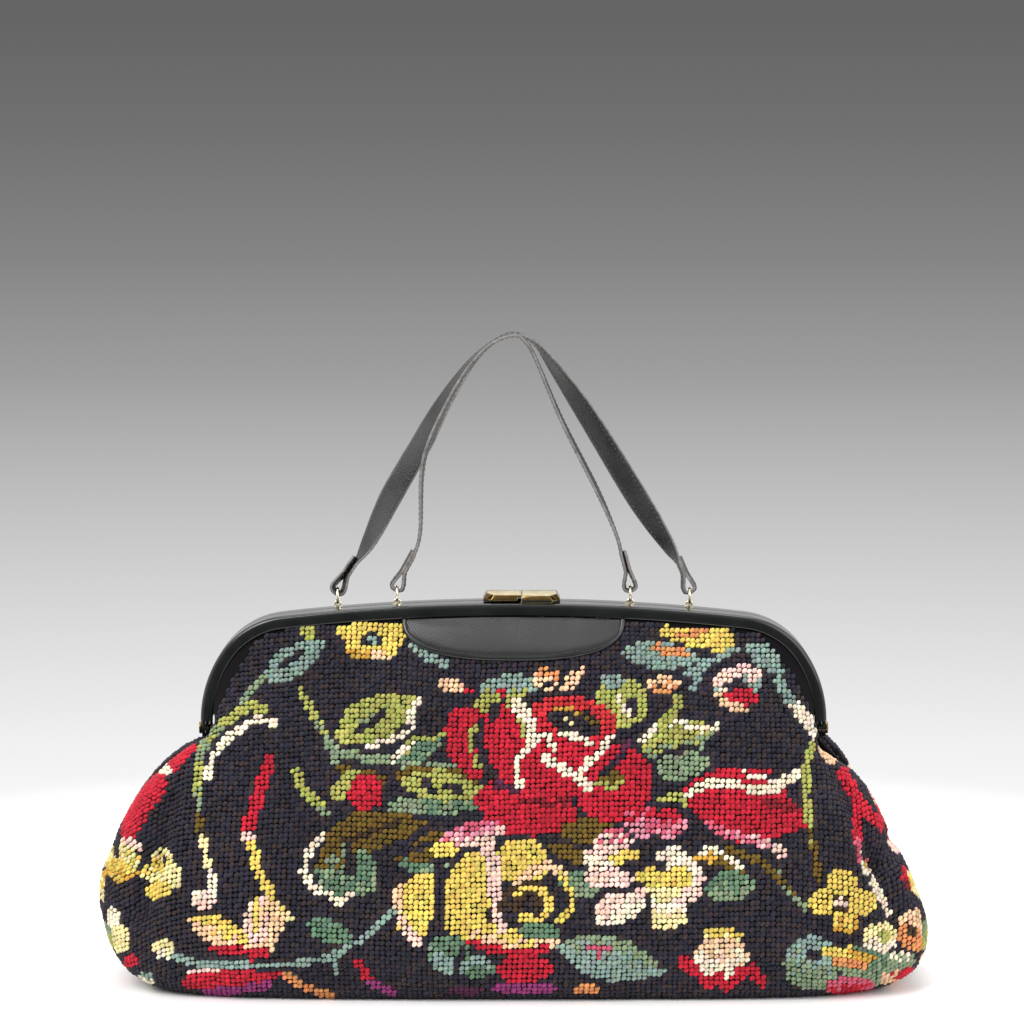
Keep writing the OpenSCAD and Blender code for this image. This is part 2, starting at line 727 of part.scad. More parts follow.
piping_steps = 32;
piping_sides = 6;
module patch_piping() {
    radius = half * piping_diameter;
    reach = patch_height - radius;
    function bow(i) = let (turn = 180 * i / piping_steps, c = -cos(turn), s = sin(turn))
        on_throat((half * patch_width - radius) * sign(c) * pow(abs(c), 2 / patch_power),
            reach * pow(s, 2 / patch_power) + radius, radius + half * soft_gap);
    places = [for (i = [0:piping_steps]) bow(i)];
    rings = [for (i = [0:piping_steps])
        let (
            along = unit(places[min(piping_steps, i + 1)] - places[max(0, i - 1)]),
            out = [0, -1, 0],
            across = unit(cross(along, out)),
            lift = cross(across, along)
        )
        [for (j = [0:piping_sides - 1]) let (turn = 360 * j / piping_sides)
            places[i] + radius * (cos(turn) * across + sin(turn) * lift)]];
    color(black_leather) swept_solid(rings);
}

front_panel();
rear_panel();
left_gusset();
right_gusset();
base_panel();
base_board();
lining();
hinge_rivets();
front_frame();
front_throat();
front_throat_lining();
half_moon_patch();
patch_piping();
front_clasp_plate();
front_ring_posts();
rear_frame();
rear_throat();
rear_throat_lining();
rear_clasp_plate();
rear_ring_posts();
front_strap();
front_rings();
rear_strap();
rear_rings();
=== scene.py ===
"""Needlepoint carpet bag: the looks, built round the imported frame.

Sizes are millimetres in this script, and become metres where a mesh is made. -Y is the front.
"""
import json
import math

import bmesh
import bpy
import numpy as np
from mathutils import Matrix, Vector


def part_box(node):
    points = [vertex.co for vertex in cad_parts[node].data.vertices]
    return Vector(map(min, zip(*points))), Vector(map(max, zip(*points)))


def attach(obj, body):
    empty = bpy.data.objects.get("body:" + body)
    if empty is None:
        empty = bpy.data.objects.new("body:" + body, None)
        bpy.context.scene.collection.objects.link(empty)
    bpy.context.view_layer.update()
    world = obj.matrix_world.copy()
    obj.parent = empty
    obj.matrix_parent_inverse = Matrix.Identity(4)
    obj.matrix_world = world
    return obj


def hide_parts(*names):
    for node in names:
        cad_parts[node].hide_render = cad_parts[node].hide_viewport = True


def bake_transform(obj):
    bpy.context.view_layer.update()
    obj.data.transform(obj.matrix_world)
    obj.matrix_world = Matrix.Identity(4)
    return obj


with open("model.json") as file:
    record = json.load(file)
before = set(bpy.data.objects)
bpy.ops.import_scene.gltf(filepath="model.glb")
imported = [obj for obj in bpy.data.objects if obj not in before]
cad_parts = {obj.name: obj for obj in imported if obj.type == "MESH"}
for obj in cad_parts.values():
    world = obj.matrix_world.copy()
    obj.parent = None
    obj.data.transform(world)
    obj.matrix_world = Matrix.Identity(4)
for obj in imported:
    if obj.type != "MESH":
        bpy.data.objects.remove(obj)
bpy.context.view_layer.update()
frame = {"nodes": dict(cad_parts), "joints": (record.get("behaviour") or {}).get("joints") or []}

MM = 0.001
TINY = 1e-9
WELD = 1e-6
SEED = 7


def node_box(name):
    """A CAD node's lowest and highest corner in millimetres."""
    low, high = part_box(name)
    return np.array(low) / MM, np.array(high) / MM


def joint_place(name):
    """A joint's place in millimetres."""
    joint = next(j for j in frame["joints"] if j["name"] == name)
    return np.array(joint["pos_m"]) / MM


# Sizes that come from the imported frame
FRAME_LOW, FRAME_HIGH = node_box("front_frame")
HALF_FRAME = FRAME_HIGH[0]
FRAME_TOP = FRAME_HIGH[2]
FRAME_DEPTH = -FRAME_LOW[1]
HINGE = joint_place("front_frame_open")[2]
HALF_DEPTH = -node_box("front_panel")[0][1]
HALF_WIDTH = -node_box("left_gusset")[0][0]
HANDLE_TOP = node_box("front_strap")[1][2]

# Frame: arched rail, shoulder and leg, as in the part
RAIL_RADIUS = 1030
SHOULDER_RADIUS = 42
LEG_RADIUS = 62
SHOULDER_TURN = math.radians(57)
FRAME_FACE = 6.2
FRAME_WALL = 1.6
HALF_GAP = 0.8
LIP_FRONT = 7.4
LIP_REACH = 5
EAR_RADIUS = 4.5
EAR_TONGUE = 6
EAR_GAP = 0.3

# Cloth
STITCH_PITCH = 2.54
SECTION_POWER = 4.2
HEIGHT_SHARES = (0, 0.03, 0.07, 0.13, 0.2, 0.28, 0.37, 0.47, 0.57, 0.67, 0.76, 0.85, 0.93, 1)
LEFT_SHARES = (0.845, 0.893, 0.93, 0.96, 0.98, 0.992, 1, 0.99, 0.965, 0.935, 0.9, 0.855, 0.805, 0.757)
RIGHT_SHARES = (0.87, 0.925, 0.965, 0.99, 1, 0.995, 0.975, 0.95, 0.92, 0.89, 0.86, 0.825, 0.79, 0.757)
DEPTH_SHARES = (0.74, 0.84, 0.91, 0.96, 0.99, 1, 0.985, 0.95, 0.9, 0.84, 0.78, 0.72, 0.665, 0.615)
CHANNEL_Y = 10.2
CHANNEL_INSET = 5.4
TUCK_INSET = 3.2
EDGE_MARGIN = 2.4
NOTCH_FOOT = 98
CANVAS_INSET = 0.2
CLOTH_THICKNESS = 1.1
LINING_INSET = 2
LINING_THICKNESS = 0.5
THROAT_POWER = 1.15
# Share of the section in the upper corners left without stitches, so the near-black canvas shows there as
# painted shade of the recess
RECESS_SHARE = 0.4
CORNER_SPREAD = 1.25
# Offset of the fold in the upper corner from the frame's inner edge, at heights above the hinge
FOLD_HEIGHTS = (0, 5, 11, 24, 38, 46, 52)
FOLD_OFFSETS = (7, 1, -5, -11, -13, -9, 0)
# Stitches stand a little unevenly, and their rows sway from some height on, in waves up and across
FIRST_ROW = 0.85
LIFT_PLAY = 0.14
ROW_PLAY = 0.16
COLUMN_PLAY = 0.13
SWAY = 0.9
SWAY_FOOT = 6
SWAY_RISE = 20
SWAY_LENGTHS = (23, 41, 19, 27)
SWAY_BEND = 1.3

# Viewing eye, which also places the needlework's chart
EYE = (-0.8, -1600, 400)
EYE_TILT = math.radians(5.87)
EYE_FOCUS = 3228
PHOTO_SIDE = 1024
SENSOR = 36


def view_place(points):
    """Where points show in the picture, right and down in chart units."""
    offset = np.asarray(points, float) - np.array(EYE)
    depth = offset[..., 1] * math.cos(EYE_TILT) - offset[..., 2] * math.sin(EYE_TILT)
    rise = offset[..., 1] * math.sin(EYE_TILT) + offset[..., 2] * math.cos(EYE_TILT)
    middle = PHOTO_SIDE / 2
    return middle + EYE_FOCUS * offset[..., 0] / depth, middle - EYE_FOCUS * rise / depth


# Small helpers

def smooth_step(t):
    """An even rise from 0 to 1."""
    t = np.clip(t, 0, 1)
    return t * t * (3 - 2 * t)


def smooth_table(x, places, values):
    """A smooth curve through a table."""
    places, values = np.asarray(places, float), np.asarray(values, float)
    slope = np.gradient(values, places)
    i = np.clip(np.searchsorted(places, x) - 1, 0, len(places) - 2)
    h = places[i + 1] - places[i]
    t = np.clip((x - places[i]) / h, 0, 1)
    rest = 1 - t
    return (values[i] * rest * rest * (1 + 2 * t) + values[i + 1] * t * t * (3 - 2 * t)
            + h * slope[i] * t * rest * rest - h * slope[i + 1] * t * t * rest)


def unit(ways):
    """Directions made one long."""
    return ways / np.maximum(np.linalg.norm(ways, axis=-1, keepdims=True), TINY)


def run_length(points):
    """Length along each run of points, from zero at its start."""
    steps = np.linalg.norm(np.diff(points, axis=-2), axis=-1)
    return np.concatenate([np.zeros_like(steps[..., :1]), np.cumsum(steps, axis=-1)], axis=-1)


def sample(places, run, fields):
    """The columns of fields, read at places along their run."""
    return np.stack([np.interp(places, run, column) for column in fields.T], axis=1)


def linear(hex_color):
    """Linear RGBA of an sRGB hex colour."""
    channels = [int(hex_color[i:i + 2], 16) / 255 for i in (1, 3, 5)]
    return tuple(c / 12.92 if c <= 0.04045 else ((c + 0.055) / 1.055) ** 2.4 for c in channels) + (1,)


def add(tree, kind, inputs=None, **settings):
    """A node with its settings, and its inputs set or linked, by name or by number."""
    node = tree.nodes.new(kind)
    for name, value in settings.items():
        setattr(node, name, value)
    for key, value in (inputs or {}).items():
        socket = node.inputs[key] if isinstance(key, int) else shown(node.inputs, key)
        if isinstance(value, bpy.types.Node):
            value = shown(value.outputs)
        if isinstance(value, bpy.types.NodeSocket):
            tree.links.new(value, socket)
        else:
            socket.default_value = value
    return node


def shown(sockets, name=None):
    """The first socket in use, or the first of that name."""
    return next(s for s in sockets if s.enabled and name in (None, s.name))


def out(node, name):
    """A node's output of that name."""
    return shown(node.outputs, name)


def mesh_piece(name, points, faces, material):
    """A piece from points in millimetres, faces turned outward."""
    mesh = bpy.data.meshes.new(name)
    mesh.from_pydata((np.asarray(points, float) * MM).tolist(), [], [list(f) for f in faces])
    piece = bpy.data.objects.new(name, mesh)
    bpy.context.scene.collection.objects.link(piece)
    shell = bmesh.new()
    shell.from_mesh(mesh)
    bmesh.ops.remove_doubles(shell, verts=shell.verts, dist=WELD)
    bmesh.ops.recalc_face_normals(shell, faces=shell.faces)
    shell.to_mesh(mesh)
    shell.free()
    mesh.materials.append(material)
    mesh.shade_smooth()
    return piece


def settle(piece):
    """The piece's modifiers made into its plain mesh."""
    graph = bpy.context.evaluated_depsgraph_get()
    mesh = bpy.data.meshes.new_from_object(piece.evaluated_get(graph))
    piece.modifiers.clear()
    piece.data = mesh
    return piece


def grid_faces(rows, columns, closed=False):
    """Quads of a grid of points, closed round its columns where asked."""
    span = columns if closed else columns - 1
    return [(i * columns + j, i * columns + (j + 1) % columns,
             (i + 1) * columns + (j + 1) % columns, (i + 1) * columns + j)
            for i in range(rows - 1) for j in range(span)]


def slab(outer, inner):
    """Points and faces of a closed sheet between two grids."""
    rows, columns = outer.shape[:2]
    count = rows * columns
    points = np.concatenate([outer.reshape(-1, 3), inner.reshape(-1, 3)])
    top = grid_faces(rows, columns)
    faces = top + [tuple(count + k for k in reversed(f)) for f in top]
    rim = ([i * columns for i in range(rows)] + [(rows - 1) * columns + j for j in range(1, columns)]
           + [i * columns + columns - 1 for i in range(rows - 2, -1, -1)]
           + [j for j in range(columns - 2, 0, -1)])
    faces += [(a, b, count + b, count + a) for a, b in zip(rim, rim[1:] + rim[:1])]
    return points, faces


def tube(rings):
    """Points and faces of a closed bar through equal rings."""
    rings = np.asarray(rings, float)
    rows, columns = rings.shape[:2]
    faces = grid_faces(rows, columns, closed=True)
    faces += [tuple(range(columns)), tuple((rows - 1) * columns + k for k in range(columns))]
    return rings.reshape(-1, 3), faces


def grid_normals(grid, outward):
    """Unit normals and row tangents of a grid, turned to the given side."""
    across = np.gradient(grid, axis=1)
    normal = unit(np.cross(across, np.gradient(grid, axis=0)))
    side = np.sign(np.sum(normal * outward, axis=2, keepdims=True))
    return normal * np.where(side == 0, 1, side), unit(across)


# Frame path

def frame_centres():
    """Centres of the rail's, shoulder's and leg's arcs, and the turn where the rail ends."""
    reach = HALF_FRAME - SHOULDER_RADIUS * math.sin(SHOULDER_TURN)
    reach -= LEG_RADIUS * (1 - math.sin(SHOULDER_TURN))
    turn = math.asin(reach / (RAIL_RADIUS - SHOULDER_RADIUS))
    rail = np.array([0, FRAME_TOP - RAIL_RADIUS])
    shoulder = rail + (RAIL_RADIUS - SHOULDER_RADIUS) * np.array([math.sin(turn), math.cos(turn)])
    bend = np.array([math.sin(SHOULDER_TURN), math.cos(SHOULDER_TURN)])
    return rail, shoulder, shoulder + (SHOULDER_RADIUS - LEG_RADIUS) * bend, turn


RAIL_CENTRE, SHOULDER_CENTRE, LEG_CENTRE, RAIL_TURN = frame_centres()
LEG_END = LEG_CENTRE[1]


def frame_point(share, inset):
    """A point on the leg and shoulder, from the leg's end (0) to the rail (1)."""
    turn = math.pi / 2 - share * (math.pi / 2 - RAIL_TURN)
    away = np.array([math.sin(turn), math.cos(turn)])
    if turn > SHOULDER_TURN:
        return LEG_CENTRE + (LEG_RADIUS - inset) * away
    return SHOULDER_CENTRE + (SHOULDER_RADIUS - inset) * away


def rail_height(x, inset):
    """Height of the rail's arch above a place across the bag."""
    return RAIL_CENTRE[1] + np.sqrt((RAIL_RADIUS - inset) ** 2 - np.asarray(x) ** 2)


def frame_path(inset, leg_steps=44, rail_steps=40):
    """The frame's whole outline at an inset, from the left leg's end to the right one's."""
    leg = np.array([frame_point(k / leg_steps, inset) for k in range(leg_steps + 1)])
    turns = np.linspace(-RAIL_TURN, RAIL_TURN, rail_steps + 1)[1:-1]
    rail = RAIL_CENTRE + (RAIL_RADIUS - inset) * np.stack([np.sin(turns), np.cos(turns)], axis=1)
    return np.concatenate([leg * [-1, 1], rail, leg[::-1]])


# Materials: pattern sizes are in millimetres, and what would be too fine to show is drawn coarser

def new_material(name):
    """An empty material, its tree, and the place on the piece."""
    material = bpy.data.materials.new(name)
    material.use_nodes = True
    tree = material.node_tree
    tree.nodes.clear()
    return material, tree, out(add(tree, "ShaderNodeTexCoord"), "Object")


def per_mm(size):
    """Texture scale whose pattern repeats about every size millimetres."""
    return 1 / (size * MM)


def bands_per_mm(size):
    """Wave texture scale whose bands repeat every size millimetres."""
    return math.tau / 20 * per_mm(size)


def two_tones(tree, value, low, high, dark, pale):
    """Colour that goes from dark to pale as a value goes from low to high."""
    share = add(tree, "ShaderNodeMapRange", {"Value": value, "From Min": low, "From Max": high})
    return add(tree, "ShaderNodeMix", {"Factor": share, "A": linear(dark), "B": linear(pale)},
               data_type="RGBA")


def wool_yarn():
    """Wool tapestry yarn in tent stitch: matt, soft at the edges, with a fine fibre relief."""
    material, tree, place = new_material("wool_yarn")
    color = add(tree, "ShaderNodeAttribute", attribute_name="stitch_color")
    fibre = add(tree, "ShaderNodeTexNoise", {"Vector": place, "Scale": per_mm(0.5), "Detail": 2.0})
    fading = add(tree, "ShaderNodeTexNoise", {"Vector": place, "Scale": per_mm(30), "Detail": 1.0})
    both = add(tree, "ShaderNodeMath", {0: fibre, 1: fading}, operation="ADD")
    light = add(tree, "ShaderNodeMapRange", {
        "Value": both, "From Min": 0.6, "From Max": 1.4, "To Min": 0.72, "To Max": 1.22})
    tinted = add(tree, "ShaderNodeVectorMath", {0: color, "Scale": light}, operation="SCALE")
    relief = add(tree, "ShaderNodeBump", {"Height": fibre, "Strength": 0.35, "Distance": 0.3 * MM})
    shader = add(tree, "ShaderNodeBsdfPrincipled", {
        "Base Color": tinted, "Roughness": 0.85, "Specular IOR Level": 0.18,
        "Sheen Weight": 0.06, "Sheen Roughness": 0.5, "Normal": relief})
    add(tree, "ShaderNodeOutputMaterial", {"Surface": shader})
    return material


def woven_cloth(name, dark, pale, thread, rough, sheen):
    """Plain-woven cotton: two crossing rows of threads in relief, a little slubby."""
    material, tree, place = new_material(name)
    slub = add(tree, "ShaderNodeTexNoise", {"Vector": place, "Scale": per_mm(6), "Detail": 4.0})
    warp, weft = [out(add(tree, "ShaderNodeTexWave", {
        "Vector": place, "Scale": bands_per_mm(thread), "Distortion": 0.6, "Detail": 1.0},
        bands_direction=way), "Fac") for way in ("X", "Z")]
    weave = add(tree, "ShaderNodeMath", {0: warp, 1: weft}, operation="MULTIPLY")
    tone = add(tree, "ShaderNodeMath", {0: weave, 1: slub}, operation="ADD")
    color = two_tones(tree, tone, 0.3, 1.5, dark, pale)
    relief = add(tree, "ShaderNodeBump", {"Height": weave, "Strength": 0.4, "Distance": 0.2 * MM})
    shader = add(tree, "ShaderNodeBsdfPrincipled", {
        "Base Color": color, "Roughness": rough, "Specular IOR Level": 0.15, "Sheen Weight": sheen,
        "Normal": relief})
    add(tree, "ShaderNodeOutputMaterial", {"Surface": shader})
    return material


RULING_TURN = 0.62


def leather(name, dark, pale, grain, relief_strength, rough_low, rough_high, cross_grain=None, wear_and_painted_light=None):
    """Dyed leather: pebbled or cross-ruled grain, uneven sheen, and an edge colour that is rubbed wear with a
    painted highlight on the straps and painted shade on the patch's rim.
    """
    material, tree, place = new_material(name)
    height = add(tree, "ShaderNodeTexVoronoi", {"Vector": place, "Scale": per_mm(grain)},
                 feature="DISTANCE_TO_EDGE")
    clouds = add(tree, "ShaderNodeTexNoise", {"Vector": place, "Scale": per_mm(14), "Detail": 5.0})
    base = two_tones(tree, clouds, 0.3, 0.75, dark, pale)
    if cross_grain:
        lines = {}
        for k, turn in enumerate((RULING_TURN, -RULING_TURN)):
            turned = add(tree, "ShaderNodeMapping", {"Vector": place, "Rotation": (0, turn, 0)})
            lines[k] = out(add(tree, "ShaderNodeTexWave", {
                "Vector": turned, "Scale": bands_per_mm(cross_grain), "Distortion": 1.2, "Detail": 2.0},
                bands_direction="X"), "Fac")
        height = add(tree, "ShaderNodeMath", lines, operation="MULTIPLY")
        speck = add(tree, "ShaderNodeMapRange", {
            "Value": height, "From Min": 0.1, "From Max": 0.9, "To Min": 0.6, "To Max": 2.3})
        base = add(tree, "ShaderNodeVectorMath", {0: base, "Scale": speck}, operation="SCALE")
    # Edge colour mixed in by the edge attribute: painted shade on the patch, rubbed wear with a painted
    # highlight on the straps
    if wear_and_painted_light:
        worn = out(add(tree, "ShaderNodeAttribute", attribute_name="edge_wear_and_painted_light"), "Fac")
        scuff = add(tree, "ShaderNodeTexNoise", {"Vector": place, "Scale": per_mm(3), "Detail": 6.0})
        amount = add(tree, "ShaderNodeMath", {0: worn, 1: scuff}, operation="MULTIPLY")
        base = add(tree, "ShaderNodeMix", {"Factor": amount, "A": base, "B": linear(wear_and_painted_light)}, data_type="RGBA")
    relief = add(tree, "ShaderNodeBump", {
        "Height": height, "Strength": relief_strength, "Distance": 0.25 * MM})
    rough = add(tree, "ShaderNodeMapRange", {
        "Value": clouds, "From Min": 0.3, "From Max": 0.7, "To Min": rough_low, "To Max": rough_high})
    shader = add(tree, "ShaderNodeBsdfPrincipled", {
        "Base Color": base, "Roughness": rough, "IOR": 1.5, "Normal": relief})
    add(tree, "ShaderNodeOutputMaterial", {"Surface": shader})
    return material


def polished_metal(name, dark, pale, rough_low, rough_high):
    """Plated metal: bright, with faint tarnish clouds and fine handling scratches."""
    material, tree, place = new_material(name)
    clouds = add(tree, "ShaderNodeTexNoise", {"Vector": place, "Scale": per_mm(5), "Detail": 5.0})
    drawn = add(tree, "ShaderNodeMapping", {"Vector": place, "Scale": (0.08, 1, 1)})
    scratch = add(tree, "ShaderNodeTexNoise", {"Vector": drawn, "Scale": per_mm(0.4), "Detail": 2.0})
    tone = two_tones(tree, clouds, 0.3, 0.7, dark, pale)
    rough = add(tree, "ShaderNodeMapRange", {
        "Value": scratch, "From Min": 0.3, "From Max": 0.7, "To Min": rough_low, "To Max": rough_high})
    relief = add(tree, "ShaderNodeBump", {"Height": scratch, "Strength": 0.06, "Distance": 0.1 * MM})
    shader = add(tree, "ShaderNodeBsdfPrincipled", {
        "Base Color": tone, "Metallic": 1.0, "Roughness": rough, "Normal": relief})
    add(tree, "ShaderNodeOutputMaterial", {"Surface": shader})
    return material


def waxed_thread():
    """Waxed linen thread: dark, twisted, a little shiny."""
    material, tree, place = new_material("waxed_thread")
    twist = add(tree, "ShaderNodeTexNoise", {"Vector": place, "Scale": per_mm(0.6), "Detail": 2.0})
    tone = two_tones(tree, twist, 0.0, 1.0, "#1d1c1c", "#5d5956")
    shader = add(tree, "ShaderNodeBsdfPrincipled", {"Base Color": tone, "Roughness": 0.55})
    add(tree, "ShaderNodeOutputMaterial", {"Surface": shader})
    return material


WOOL = wool_yarn()
# Near-black canvas as painted shade, showing in the bare upper corners of the recess and in the gaps between
# stitches
SHADE_CANVAS = woven_cloth("canvas_painted_shade", "#070608", "#120e12", 1.2, 0.95, 0.0)
LINING = woven_cloth("cotton_lining", "#3a241c", "#6d4a39", 0.9, 0.85, 0.15)
FRAME_COVER = leather("enamelled_leathercloth", "#101111", "#1a1c1b", 0.5, 0.05, 0.06, 0.16)
# The straps' pale edge colour is rubbed wear together with a painted edge highlight
STRAP_LEATHER = leather("strap_calf_leather", "#141415", "#2a292a", 0.8, 0.35, 0.36, 0.55, wear_and_painted_light="#928d89")
# The cross-grain leather's edge colour is near-black painted shade along the patch's rim
PATCH_LEATHER = leather("cross_grain_leather", "#0b0c0d", "#191b1d", 0.8, 0.7, 0.14, 0.24, cross_grain=1.1,
                        wear_and_painted_light="#060707")
PIPING_LEATHER = leather("piping_leather", "#0b0c0c", "#181a1a", 0.6, 0.08, 0.08, 0.18)
# One brass in two copies: a darkened one as painted shade and dark reflection on the clasp's sloped faces and
# the rivets, a pale one as the painted highlight on the clasp's top
SHADED_BRASS = polished_metal("brass_painted_shade", "#604d2c", "#846c42", 0.08, 0.18)
HIGHLIGHT_BRASS = polished_metal("brass_painted_highlight", "#d8c48c", "#f4e7bd", 0.08, 0.2)
RING_METAL = polished_metal("pale_gold_plate", "#bdb59e", "#efe8d6", 0.12, 0.26)
THREAD = waxed_thread()


# Cloth body: half a ring of section points at each height, from one side's middle round to the other's

SECTION_STEPS = 2000


def unit_section(count=161):
    """Evenly spaced points of the half section, as shares of its width and depth."""
    run = np.linspace(-1, 1, 2 * SECTION_STEPS + 1)
    turn = 0.5 ** (1 / SECTION_POWER)
    curve = (1 - np.abs(run * turn) ** SECTION_POWER) ** (1 / SECTION_POWER)
    side = np.linspace(0, turn, SECTION_STEPS)[:-1]
    flank = (1 - side ** SECTION_POWER) ** (1 / SECTION_POWER)
    x = np.concatenate([-flank, run * turn, flank[::-1]])
    y = np.concatenate([side, curve, side[::-1]])
    length = run_length(np.stack([x * HALF_WIDTH, y * HALF_DEPTH], axis=1))
    even = np.linspace(0, length[-1], count)
    return np.interp(even, length, x), np.interp(even, length, y)


def side_width(z, shares):
    """Half the bag's width at a height, on the side of those shares."""
    return HALF_WIDTH * smooth_table(z / HINGE, HEIGHT_SHARES, shares)


def notch_share(z):
    """How far a gusset is drawn in towards its hinge at a height."""
    return smooth_step((z - NOTCH_FOOT) / (HINGE - NOTCH_FOOT))


def throat_depth(x, z):
    """Depth of the throat's face from the middle of the bag."""
    level = np.clip((z - HINGE) / (rail_height(x, CHANNEL_INSET) - HINGE), 0, 1)
    return CHANNEL_Y + (HALF_DEPTH * DEPTH_SHARES[-1] - CHANNEL_Y) * (1 - level ** THROAT_POWER)


# Creases in the front cloth, as seen from the front: two ends, width and depth
CREASES = (
    ((-170, 98), (-182, 44), 7, 6), ((-198, 66), (-176, 70), 5, 3.5), ((-186, 30), (-150, 16), 8, 2.5),
    ((155, 122), (181, 66), 6, 5), ((181, 66), (190, 26), 6, 5.5), ((150, 60), (186, 74), 7, 2.5),
    ((-152, 128), (-112, 100), 9, 2.6), ((148, 126), (120, 88), 9, 2.4), ((-120, 8), (-60, 15), 9, 2.2),
    ((60, 10), (130, 16), 10, 2.2), ((-90, 60), (-60, 92), 20, 1.4), ((70, 52), (100, 90), 20, 1.4),
    ((-40, 100), (30, 96), 24, -2),
)
# They fade out towards the foot and the frame
CREASE_FOOT = 12
CREASE_TOP = 16
OUTWARD_SHARES = (0.3, 1, 0)


def segment_distance(u, v, a, b):
    """Distance of points from a segment, and their share along it."""
    run = np.subtract(b, a).astype(float)
    share = np.clip(((u - a[0]) * run[0] + (v - a[1]) * run[1]) / (run @ run), 0, 1)
    return np.hypot(u - a[0] - share * run[0], v - a[1] - share * run[1]), share


def cloth_grid(face, body_rows=66, leg_rows=6, arch_rows=44):
    """The front (face -1) or rear (face 1) half of the cloth, base to frame, with its outward normals."""
    x_unit, y_unit = unit_section()
    rows = []
    rim = frame_point(0, CHANNEL_INSET)[0]
    corner = smooth_step(y_unit * CORNER_SPREAD)
    for z in np.linspace(0, HINGE, body_rows):
        deep = HALF_DEPTH * smooth_table(z / HINGE, HEIGHT_SHARES, DEPTH_SHARES)
        notch = notch_share(z)
        fold = np.where(x_unit < 0, side_width(z, LEFT_SHARES), side_width(z, RIGHT_SHARES))
        flank = fold + (rim - HALF_WIDTH * LEFT_SHARES[-1]) * notch
        x = (flank + (fold - flank) * corner) * x_unit
        side_y = CHANNEL_Y * notch
        rows.append(np.stack([x, side_y + (deep - side_y) * y_unit, np.full_like(x, z)], axis=1))
    edges = [(rim, HINGE + (LEG_END - HINGE) * k / leg_rows, 0) for k in range(1, leg_rows)]
    edges += [(*frame_point(k / arch_rows, CHANNEL_INSET), k / arch_rows) for k in range(arch_rows + 1)]
    for edge_x, edge_z, share in edges:
        fold = edge_x + smooth_table(edge_z - HINGE, FOLD_HEIGHTS, FOLD_OFFSETS)
        x = (edge_x + (fold - edge_x) * corner) * x_unit
        z = edge_z + share ** 2 * (rail_height(x, CHANNEL_INSET) - rail_height(edge_x, CHANNEL_INSET))
        rows.append(np.stack([x, CHANNEL_Y + (throat_depth(x, z) - CHANNEL_Y) * y_unit, z], axis=1))
    grid = np.array(rows)
    grid[..., 1] *= face
    outward = grid * OUTWARD_SHARES
    normal, _ = grid_normals(grid, outward)
    x, z = grid[..., 0], grid[..., 2]
    dent = np.zeros(x.shape)
    for a, b, wide, deep in CREASES:
        gap, _ = segment_distance(-face * x, z, a, b)
        dent += deep * np.exp(-(gap / wide) ** 2)
    dent *= smooth_step(z / CREASE_FOOT) * smooth_step((rail_height(x, CHANNEL_INSET) - z) / CREASE_TOP)
    grid = grid - normal * dent[..., None]
    normal, across = grid_normals(grid, outward)
    upper = np.arange(len(grid)) >= body_rows
    # The recess in the upper corners gets no stitches, so the near-black canvas shows there as painted shade
    bare = upper[:, None] * (y_unit < RECESS_SHARE)[None, :]
    return grid, normal, across, bare.astype(float), np.where(upper, EDGE_MARGIN, 0)


def tucked_sheet(grid, normal, inset, thickness):
    """A closed sheet that lies inset below the cloth's face and ends inside the frame's channel."""
    face = np.sign(grid[0, grid.shape[1] // 2, 1])
    last = grid[-1]
    lift = unit((last[:, 2] - RAIL_CENTRE[1])[:, None] * [0, 0, 1] + last * [1, 0, 0])
    tucked = last + lift * (CHANNEL_INSET - TUCK_INSET)
    return slab(*[np.concatenate([grid - normal * deep, [tucked - [0, face * deep, 0]]])
                  for deep in (inset, inset + thickness)])


def stitch_lattice(grid, normal, across, lift, random, bare=None, margins=0.4 * STITCH_PITCH):
    """Stitch places on the cloth with their normals and row directions: rows and columns, a little uneven."""
    bare = np.zeros(grid.shape[:2]) if bare is None else bare
    channels = np.concatenate([grid, normal, across, bare[..., None]], axis=2)
    middle = grid.shape[1] // 2
    length = run_length(grid)
    length -= length[:, middle:middle + 1]
    reach = int(np.abs(length).max() / STITCH_PITCH) + 1
    columns = np.arange(-reach, reach + 1) * STITCH_PITCH
    lines = np.stack([sample(columns, run, fields) for run, fields in zip(length, channels)], axis=1)
    inside = (columns[:, None] >= length[:, 0] + margins) & (columns[:, None] <= length[:, -1] - margins)
    found = []
    for line, allowed in zip(lines, inside):
        rise = run_length(line[:, :3])[allowed]
        if len(rise) < 2:
            continue
        levels = np.arange(FIRST_ROW, rise[-1] / STITCH_PITCH, 1) * STITCH_PITCH
        here = levels[(levels > rise[0]) & (levels < rise[-1] - np.max(margins))]
        found.append(sample(here, rise, line[allowed]))
    found = np.concatenate(found)
    found = found[found[:, 9] < 0.5, :9]
    count = len(found)
    point, away, row = found[:, 0:3], found[:, 3:6], found[:, 6:9]
    point += away * (lift + random.uniform(-LIFT_PLAY, LIFT_PLAY, count))[:, None]
    x, _, z = point.T
    hold = SWAY * smooth_step((z - SWAY_FOOT) / SWAY_RISE)
    a, b, c, d = SWAY_LENGTHS
    along_row, up = hold * np.sin(z / a + x / b), hold * np.sin(x / c + SWAY_BEND * np.sin(z / d))
    point += row * (along_row + random.normal(0, ROW_PLAY, count))[:, None]
    point += np.cross(away, row) * (up + random.normal(0, COLUMN_PLAY, count))[:, None]
    return found


# Needlework chart: wool colours and simple shapes, right and down in chart units of half a millimetre

